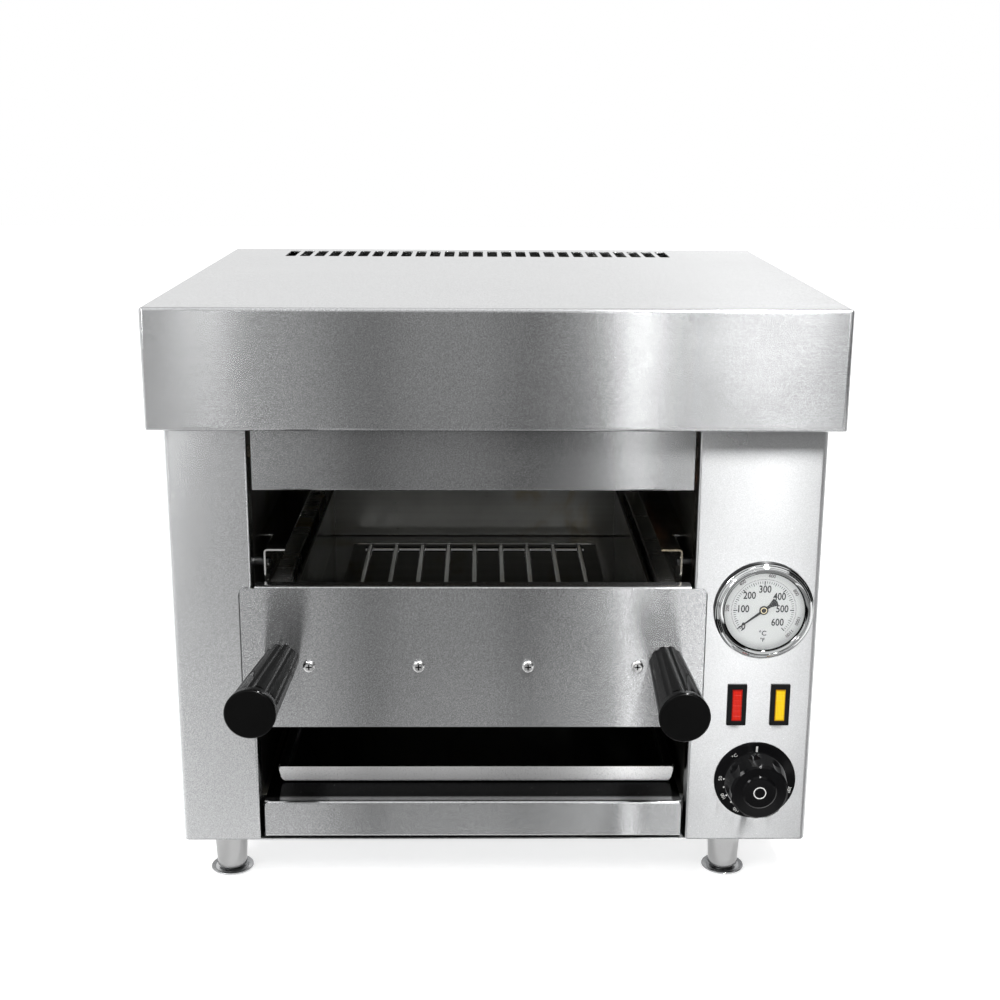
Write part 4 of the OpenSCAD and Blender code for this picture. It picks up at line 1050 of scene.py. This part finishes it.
class MELTER_OT_edges(bpy.types.Operator):
    """Break the sharp edges of the visible sheet metal and mouldings"""

    bl_idname = "melter.edges"
    bl_label = "Broken edges"

    def execute(self, context):
        for node, name, width in (
            ("hood", "hood_cover", 0.35),
            ("left_column", "left_column_sheet", 0.3),
            ("right_column", "right_column_sheet", 0.3),
            ("upper_front_panel", "upper_panel_sheet", 0.3),
            ("floor_and_apron", "apron_sheet", 0.3),
            ("drawer_front", "drawer_plate", 1.0),
            ("crumb_tray", "tray_sheet", 0.3),
            ("drawer_pan", "drawer_pan_sheet", 0.3),
            ("left_runner", "left_runner_sheet", 0.25),
            ("right_runner", "right_runner_sheet", 0.25),
            ("gauge_bezel", "gauge_bezel_ring", 0.15),
            ("left_rail", "left_rail_channel", 0.3),
            ("right_rail", "right_rail_channel", 0.3),
            ("left_handle", "left_grip", 0.4),
            ("right_handle", "right_grip", 0.4),
            ("knob", "knob_moulding", 0.3),
        ):
            edged_copy(node, name, width * MM)
        lean(bpy.data.objects["left_grip"], GRIP_BASE_SHIFT, GRIP_END_SHIFT)
        for obj in (
            bpy.data.objects["gauge_bezel_ring"],
            bpy.data.objects["knob_moulding"],
            NODES["red_lamp"],
            NODES["yellow_lamp"],
        ):
            obj.visible_shadow = False
            obj.visible_glossy = False
        return {"FINISHED"}


# --- Thermometer ---


def block(width, depth, height):
    """A box at the origin, with nothing selected in its mesh"""
    deselect_all()
    bpy.ops.mesh.primitive_cube_add(size=1, location=(0, 0, 0))
    set_mode("EDIT")
    bpy.ops.transform.resize(value=(width, depth, height))
    bpy.ops.mesh.select_all(action="DESELECT")
    set_mode("OBJECT")
    return bpy.context.object


def on_dial(obj, across, up, lift):
    """Lay printing on the dial, across and up from its middle"""
    obj.location = (DIAL.x + across, DIAL_FACE - lift / 2, DIAL.z + up)
    apply_place(obj)
    return obj


def dial_tick(radius, length, width, lift):
    """One printed mark at the top of the dial, narrower towards the middle"""
    tick = block(width, lift, length)
    for v in tick.data.vertices:
        v.select = v.co.z < 0
    set_mode("EDIT")
    bpy.ops.transform.resize(value=(0.75, 1, 1))
    set_mode("OBJECT")
    return on_dial(tick, 0.0, radius - length / 2, lift)


def scale_angles(count):
    """Angles of a scale's ticks from the top of the dial"""
    sweep = SCALE_END - SCALE_START
    return [math.radians(SCALE_START + sweep * i / count) for i in range(count + 1)]


def flat_text(body, size, lift, weight=0.0):
    """Printing as a thin solid that faces the front, weight thicker than drawn"""
    deselect_all()
    bpy.ops.object.text_add(location=(0, 0, 0), rotation=(math.pi / 2, 0, 0))
    text = bpy.context.object
    text.data.body = body
    text.data.size = size
    text.data.align_x = "CENTER"
    text.data.align_y = "CENTER"
    text.data.extrude = lift / 2
    text.data.offset = weight
    text.data.resolution_u = 3
    bpy.ops.object.convert(target="MESH")
    text = bpy.context.object
    apply_place(text)
    return text


class MELTER_OT_dial(bpy.types.Operator):
    """Print the thermometer's scales, numbers and units"""

    bl_idname = "melter.dial"
    bl_label = "Thermometer dial"

    def execute(self, context):
        printing = context.scene.melter_print
        ink = printed("dial ink", tuple(printing.ink))
        faint = printed("faint dial ink", (0.06, 0.05, 0.055, 1))
        lift = printing.thickness
        ticks = []
        for count, length, width in (
            (60, 2.0 * MM, 0.48 * MM),
            (12, 2.8 * MM, 0.62 * MM),
            (6, 3.4 * MM, 0.90 * MM),
        ):
            tick = dial_tick(printing.scale_radius, length, width, lift)
            ticks += turned_copies(tick, DIAL, scale_angles(count))
        scale = join(ticks, "dial_scale")
        settle(scale, "housing", ink)

        dot = dial_tick(printing.outer_radius, 0.9 * MM, 0.42 * MM, lift)
        dots = turned_copies(dot, DIAL, scale_angles(110))
        outer = join(dots, "dial_outer_scale")
        settle(outer, "housing", faint)

        numbers = []
        for i, (x, z) in enumerate(NUMBER_PLACES):
            number = flat_text(str(100 * i), printing.number_size, lift, 0.16 * MM)
            number.scale.x = 0.80
            numbers.append(on_dial(number, x * MM, z * MM, lift))
        for body, drop, size in (("°C", 20.4, 6.0), ("°F", 26.2, 4.6)):
            unit = flat_text(body, size * MM, lift, 0.08 * MM)
            numbers.append(on_dial(unit, 0.0, -drop * MM, lift))
        settle(join(numbers, "dial_numbers"), "housing", ink)

        outer_numbers = []
        for value in (200, 400, 600, 800, 1000, 1100):
            share = value / FAHRENHEIT_END
            turn = math.radians(SCALE_START + (SCALE_END - SCALE_START) * share)
            number = flat_text(str(value), 4.0 * MM, lift, 0.08 * MM)
            on_dial(number, 0.0, printing.outer_radius + 2.9 * MM, lift)
            outer_numbers += turned_copies(number, DIAL, [turn])
        settle(
            join(outer_numbers, "dial_outer_numbers"), "housing", faint
        )
        return {"FINISHED"}


class MELTER_OT_pointer_cap(bpy.types.Operator):
    """Turn the brass cap that holds the pointer on its spindle"""

    bl_idname = "melter.pointer_cap"
    bl_label = "Pointer cap"

    def execute(self, context):
        deselect_all()
        plate = POINTER_FACE + 0.7 * MM
        bpy.ops.mesh.primitive_cylinder_add(
            vertices=40,
            radius=2.6 * MM,
            depth=0.5 * MM,
            end_fill_type="NGON",
            location=(DIAL.x, plate - 0.25 * MM, DIAL.z),
            rotation=(math.pi / 2, 0, 0),
        )
        cap = bpy.context.object
        apply_place(cap)
        set_mode("EDIT")
        bpy.ops.mesh.select_all(action="DESELECT")
        set_mode("OBJECT")
        for face in cap.data.polygons:
            face.select = face.normal.y < -0.9
        set_mode("EDIT")
        bpy.ops.mesh.inset(thickness=0.5 * MM)
        bpy.ops.mesh.inset(thickness=0.3 * MM)
        bpy.ops.transform.translate(value=(0, 0.2 * MM, 0))
        bpy.ops.mesh.inset(thickness=0.9 * MM)
        bpy.ops.transform.translate(value=(0, -0.2 * MM, 0))
        set_mode("OBJECT")
        bevel_edges(cap, 0.08 * MM)
        smooth_by_angle(cap, 35)
        cap.name = cap.data.name = "pointer_cap"
        settle(
            cap,
            "thermometer_pointer",
            polished("cap brass", (0.72, 0.62, 0.40, 1), 0.3),
        )
        return {"FINISHED"}


# --- Knob ---


class MELTER_OT_knob_marks(bpy.types.Operator):
    """Paint the knob's index, numbers and dots on its skirt"""

    bl_idname = "melter.knob_marks"
    bl_label = "Knob markings"

    def execute(self, context):
        printing = context.scene.melter_print
        paint = printed("knob paint", tuple(printing.paint))
        lift = printing.thickness
        skirt = 35 * MM
        surface = KNOB_BACK - SKIRT_RISE
        radius = 30.6 * MM
        slope = math.atan(SKIRT_RISE / SKIRT_RUN)

        def on_skirt(mark, at):
            """Lay a mark on the sloped skirt at the top of the knob"""
            height = SKIRT_HEIGHT - SKIRT_RISE + (radius - at) * math.tan(slope)
            mark.data.transform(Matrix.Rotation(slope, 4, "X"))
            mark.location = (KNOB.x, surface - height, KNOB.z + at)
            apply_place(mark)
            return mark

        bar = block(1.7 * MM, lift, 6.2 * MM)
        bevel_edges(bar, 0.02 * MM)
        marks = [on_skirt(bar, skirt - 5.0 * MM)]

        for body, degrees, size in (
            ("°C", 38, 4.6),
            ("50", 84, 4.2),
            ("100", 117, 4.0),
            ("150", 150, 4.0),
            ("200", 183, 4.0),
            ("250", 216, 4.0),
            ("300", 256, 4.0),
        ):
            label = on_skirt(flat_text(body, size * MM, lift), radius - 0.4 * MM)
            marks += turned_copies(label, KNOB, [math.radians(degrees)])

        deselect_all()
        bpy.ops.mesh.primitive_cylinder_add(
            vertices=16, radius=0.75 * MM, depth=lift, rotation=(math.pi / 2, 0, 0)
        )
        dot = bpy.context.object
        apply_place(dot)
        bevel_edges(dot, 0.02 * MM, 1)
        on_skirt(dot, 27.4 * MM)
        around = [math.radians(d) for d in (84, 100, 117, 133, 150, 183, 216, 256)]
        marks += turned_copies(dot, KNOB, around)
        settle(join(marks, "knob_marks"), "temperature_knob", paint)
        return {"FINISHED"}


class MELTER_OT_knob_ring(bpy.types.Operator):
    """Lay the plain ring on the middle of the knob"""

    bl_idname = "melter.knob_ring"
    bl_label = "Knob ring"

    def execute(self, context):
        deselect_all()
        bpy.ops.mesh.primitive_torus_add(
            major_radius=5.0 * MM,
            minor_radius=0.45 * MM,
            major_segments=56,
            minor_segments=10,
            location=(KNOB.x, KNOB_FRONT + 0.5 * MM, KNOB.z),
            rotation=(math.pi / 2, 0, 0),
        )
        ring = bpy.context.object
        apply_place(ring)
        set_mode("EDIT")
        bpy.ops.mesh.select_all(action="SELECT")
        bpy.ops.transform.resize(
            value=(1, 0.4, 1), center_override=(KNOB.x, KNOB_FRONT + 0.5 * MM, KNOB.z)
        )
        set_mode("OBJECT")
        smooth_by_angle(ring, 40)
        ring.name = ring.data.name = "knob_ring"
        settle(
            ring,
            "temperature_knob",
            printed("ring paint", tuple(context.scene.melter_print.paint)),
        )
        return {"FINISHED"}


# --- Stage ---


def area_light(name, place, aim, size, power):
    light = bpy.data.lights.new(name, "AREA")
    light.shape = "RECTANGLE"
    light.size, light.size_y = size
    light.energy = power
    obj = bpy.data.objects.new(name, light)
    obj.location = place
    obj.rotation_euler = (
        (Vector(aim) - Vector(place)).to_track_quat("-Z", "Y").to_euler()
    )
    bpy.context.collection.objects.link(obj)
    return obj


def seen_directly(tree):
    """1 for rays that come to the camera straight, or by way of metal or glass"""
    path = add(tree, "LightPath").outputs
    return calc(
        tree,
        "MAXIMUM",
        path["Is Camera Ray"],
        calc(tree, "MAXIMUM", path["Is Glossy Ray"], path["Is Transmission Ray"]),
    )


def glowing(level):
    """The finish of a plain board as bright as level"""
    finish, _, shader, _ = new_material("plain reflection board")
    set_shader(
        shader,
        Base_Color=BLACK,
        Specular_IOR_Level=0.0,
        Emission_Color=WHITE,
        Emission_Strength=level,
    )
    return finish


def reflection_boards():
    """Soft light and dark stripes in front of the machine, seen only in its metal"""
    material, tree, shader, place = new_material("reflection board")
    at = split(tree, place)
    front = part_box("drawer_front")[0].y
    reach = front - STRIPES_MEET[1]
    away = minus(tree, front, at["Y"])
    across = calc(
        tree,
        "DIVIDE",
        plus(tree, times(tree, at["X"], reach), times(tree, away, STRIPES_MEET[0])),
        plus(tree, away, reach),
    )
    first, last = STRIPES[0][0], STRIPES[-1][0]
    share = add(
        tree, "MapRange", {"Value": across, "From Min": first, "From Max": last}
    ).outputs[0]
    ramp = add(tree, "ValToRGB", {0: share})
    stops = ramp.color_ramp.elements
    while len(stops) < len(STRIPES):
        stops.new(0.5)
    for stop, (x, level) in zip(stops, STRIPES):
        stop.position = (x - first) / (last - first)
        stop.color = grey(level)
    right = times(tree, step(tree, across, 0.13, 0.17), step(tree, away, 0.22, 0.36))
    left = step(tree, across, -0.10, -0.20)
    near = mixed(tree, left, grey(0.24), grey(0.46))
    near = mixed(tree, right, near, grey(1.9))
    fade = spread(tree, step(tree, away, 0.05, 0.95), 0.40, 1.0)
    set_shader(
        shader,
        Base_Color=BLACK,
        Specular_IOR_Level=0.0,
        Emission_Color=mixed(tree, fade, near, ramp.outputs[0]),
        Emission_Strength=BOARD_GLOW,
    )
    upright = (math.pi / 2, 0, 0)
    for name, size, place, turn, level in (
        ("floor_board", (9, 5.6), (0, -3.02, 0.003), (0, 0, 0), None),
        ("standing_board", (9, 2.6), (0, -5.82, 1.3), upright, None),
        ("upper_board", (0.18, 0.62), KEY_PLACE, (math.radians(31), 0, 0), 250.0),
        ("rear_board", (7, 2.2), (0, 3.2, 1.3), upright, 1.12),
        ("ceiling_board", (6, 6), (0, 0, 3.2), (0, 0, 0), 1.35),
        ("right_flag", (2.2, 3.4), (2.3, -0.9, 1.1), (0, math.pi / 2, 0), 0.03),
        ("right_lamp_board", (0.05, 0.30), (0.264, -1.61, 0.54), upright, 10.0),
        ("left_lamp_board", (0.09, 0.14), (-0.50, -1.66, 0.54), upright, 9.0),
    ):
        deselect_all()
        bpy.ops.mesh.primitive_plane_add(size=1, location=place, rotation=turn)
        board = bpy.context.object
        board.scale = (size[0], size[1], 1)
        apply_place(board)
        board.name = name
        board.data.materials.append(glowing(level) if level else material)
        for rays in ("camera", "diffuse", "transmission", "shadow"):
            setattr(board, "visible_" + rays, False)


class MELTER_OT_stage(bpy.types.Operator):
    """Set the floor, the lights, the world and the camera"""

    bl_idname = "melter.stage"
    bl_label = "Stage"

    def execute(self, context):
        settings = context.scene.melter_stage
        deselect_all()
        bpy.ops.mesh.primitive_plane_add(size=14, location=(0, 0, 0))
        floor = bpy.context.object
        floor.name = "floor"
        material, tree, shader, place = new_material("floor paper")
        far = step(tree, distance(tree, place), 0.5, 2.5)
        set_shader(
            shader,
            Base_Color=tuple(settings.floor),
            Roughness=0.9,
            Specular_IOR_Level=0.1,
            Emission_Color=WHITE,
            Emission_Strength=times(
                tree, seen_directly(tree), spread(tree, far, 0.55, 0.7)
            ),
        )
        floor.data.materials.append(material)
        reflection_boards()

        world = bpy.data.worlds.new("studio")
        context.scene.world = world
        world.use_nodes = True
        tree = world.node_tree
        shown = tree.nodes["Background"]
        shown.inputs["Color"].default_value = WHITE
        seen = seen_directly(tree)
        feed(tree, shown.inputs["Strength"], spread(tree, seen, 0.62, 1.0))

        aim = (0, 0, 0.28)
        area_light("key", KEY_PLACE, aim, (0.20, 0.35), 26)
        area_light("fill", (-1.5, -1.5, 1.5), aim, (0.35, 0.6), 20)
        top = area_light("top", (0.1, 0.9, 2.3), (0, 0, 0.5), (1.6, 0.8), 18)
        top.visible_glossy = False

        camera = bpy.data.cameras.new("camera")
        camera.lens = settings.focal
        camera.sensor_width = 36
        camera.clip_start = 0.02
        obj = bpy.data.objects.new("camera", camera)
        turn = (
            Matrix.Rotation(-settings.yaw, 4, "Z")
            @ Matrix.Rotation(math.pi / 2 - settings.pitch, 4, "X")
            @ Matrix.Rotation(settings.roll, 4, "Z")
        )
        obj.matrix_world = Matrix.Translation(settings.camera) @ turn
        bpy.context.collection.objects.link(obj)
        context.scene.camera = obj
        context.scene.view_settings.view_transform = "Standard"
        return {"FINISHED"}


class MELTER_PT_panel(bpy.types.Panel):
    """Steps of the cheese melter"""

    bl_idname = "MELTER_PT_panel"
    bl_label = "Cheese melter"
    bl_space_type = "VIEW_3D"
    bl_region_type = "UI"
    bl_category = "Melter"

    def draw(self, context):
        for name in SETTINGS:
            box = self.layout.box()
            group = getattr(context.scene, name)
            for key in group.bl_rna.properties.keys():
                if key not in ("name", "rna_type"):
                    box.prop(group, key)
        for operator in STEPS:
            self.layout.operator(operator.bl_idname)


SETTINGS = {
    "melter_steel": MelterSteel,
    "melter_plastics": MelterPlastics,
    "melter_print": MelterPrint,
    "melter_stage": MelterStage,
}
STEPS = (
    MELTER_OT_finishes,
    MELTER_OT_edges,
    MELTER_OT_dial,
    MELTER_OT_pointer_cap,
    MELTER_OT_knob_marks,
    MELTER_OT_knob_ring,
    MELTER_OT_stage,
)


def register():
    for kind in (*SETTINGS.values(), *STEPS, MELTER_PT_panel):
        bpy.utils.register_class(kind)
    for name, kind in SETTINGS.items():
        setattr(bpy.types.Scene, name, bpy.props.PointerProperty(type=kind))


def unregister():
    for name in SETTINGS:
        delattr(bpy.types.Scene, name)
    for kind in (MELTER_PT_panel, *reversed(STEPS), *SETTINGS.values()):
        bpy.utils.unregister_class(kind)


def main():
    register()
    for operator in STEPS:
        step_name = operator.bl_idname.split(".")[1]
        getattr(bpy.ops.melter, step_name)()


if __name__ == "__main__":
    main()
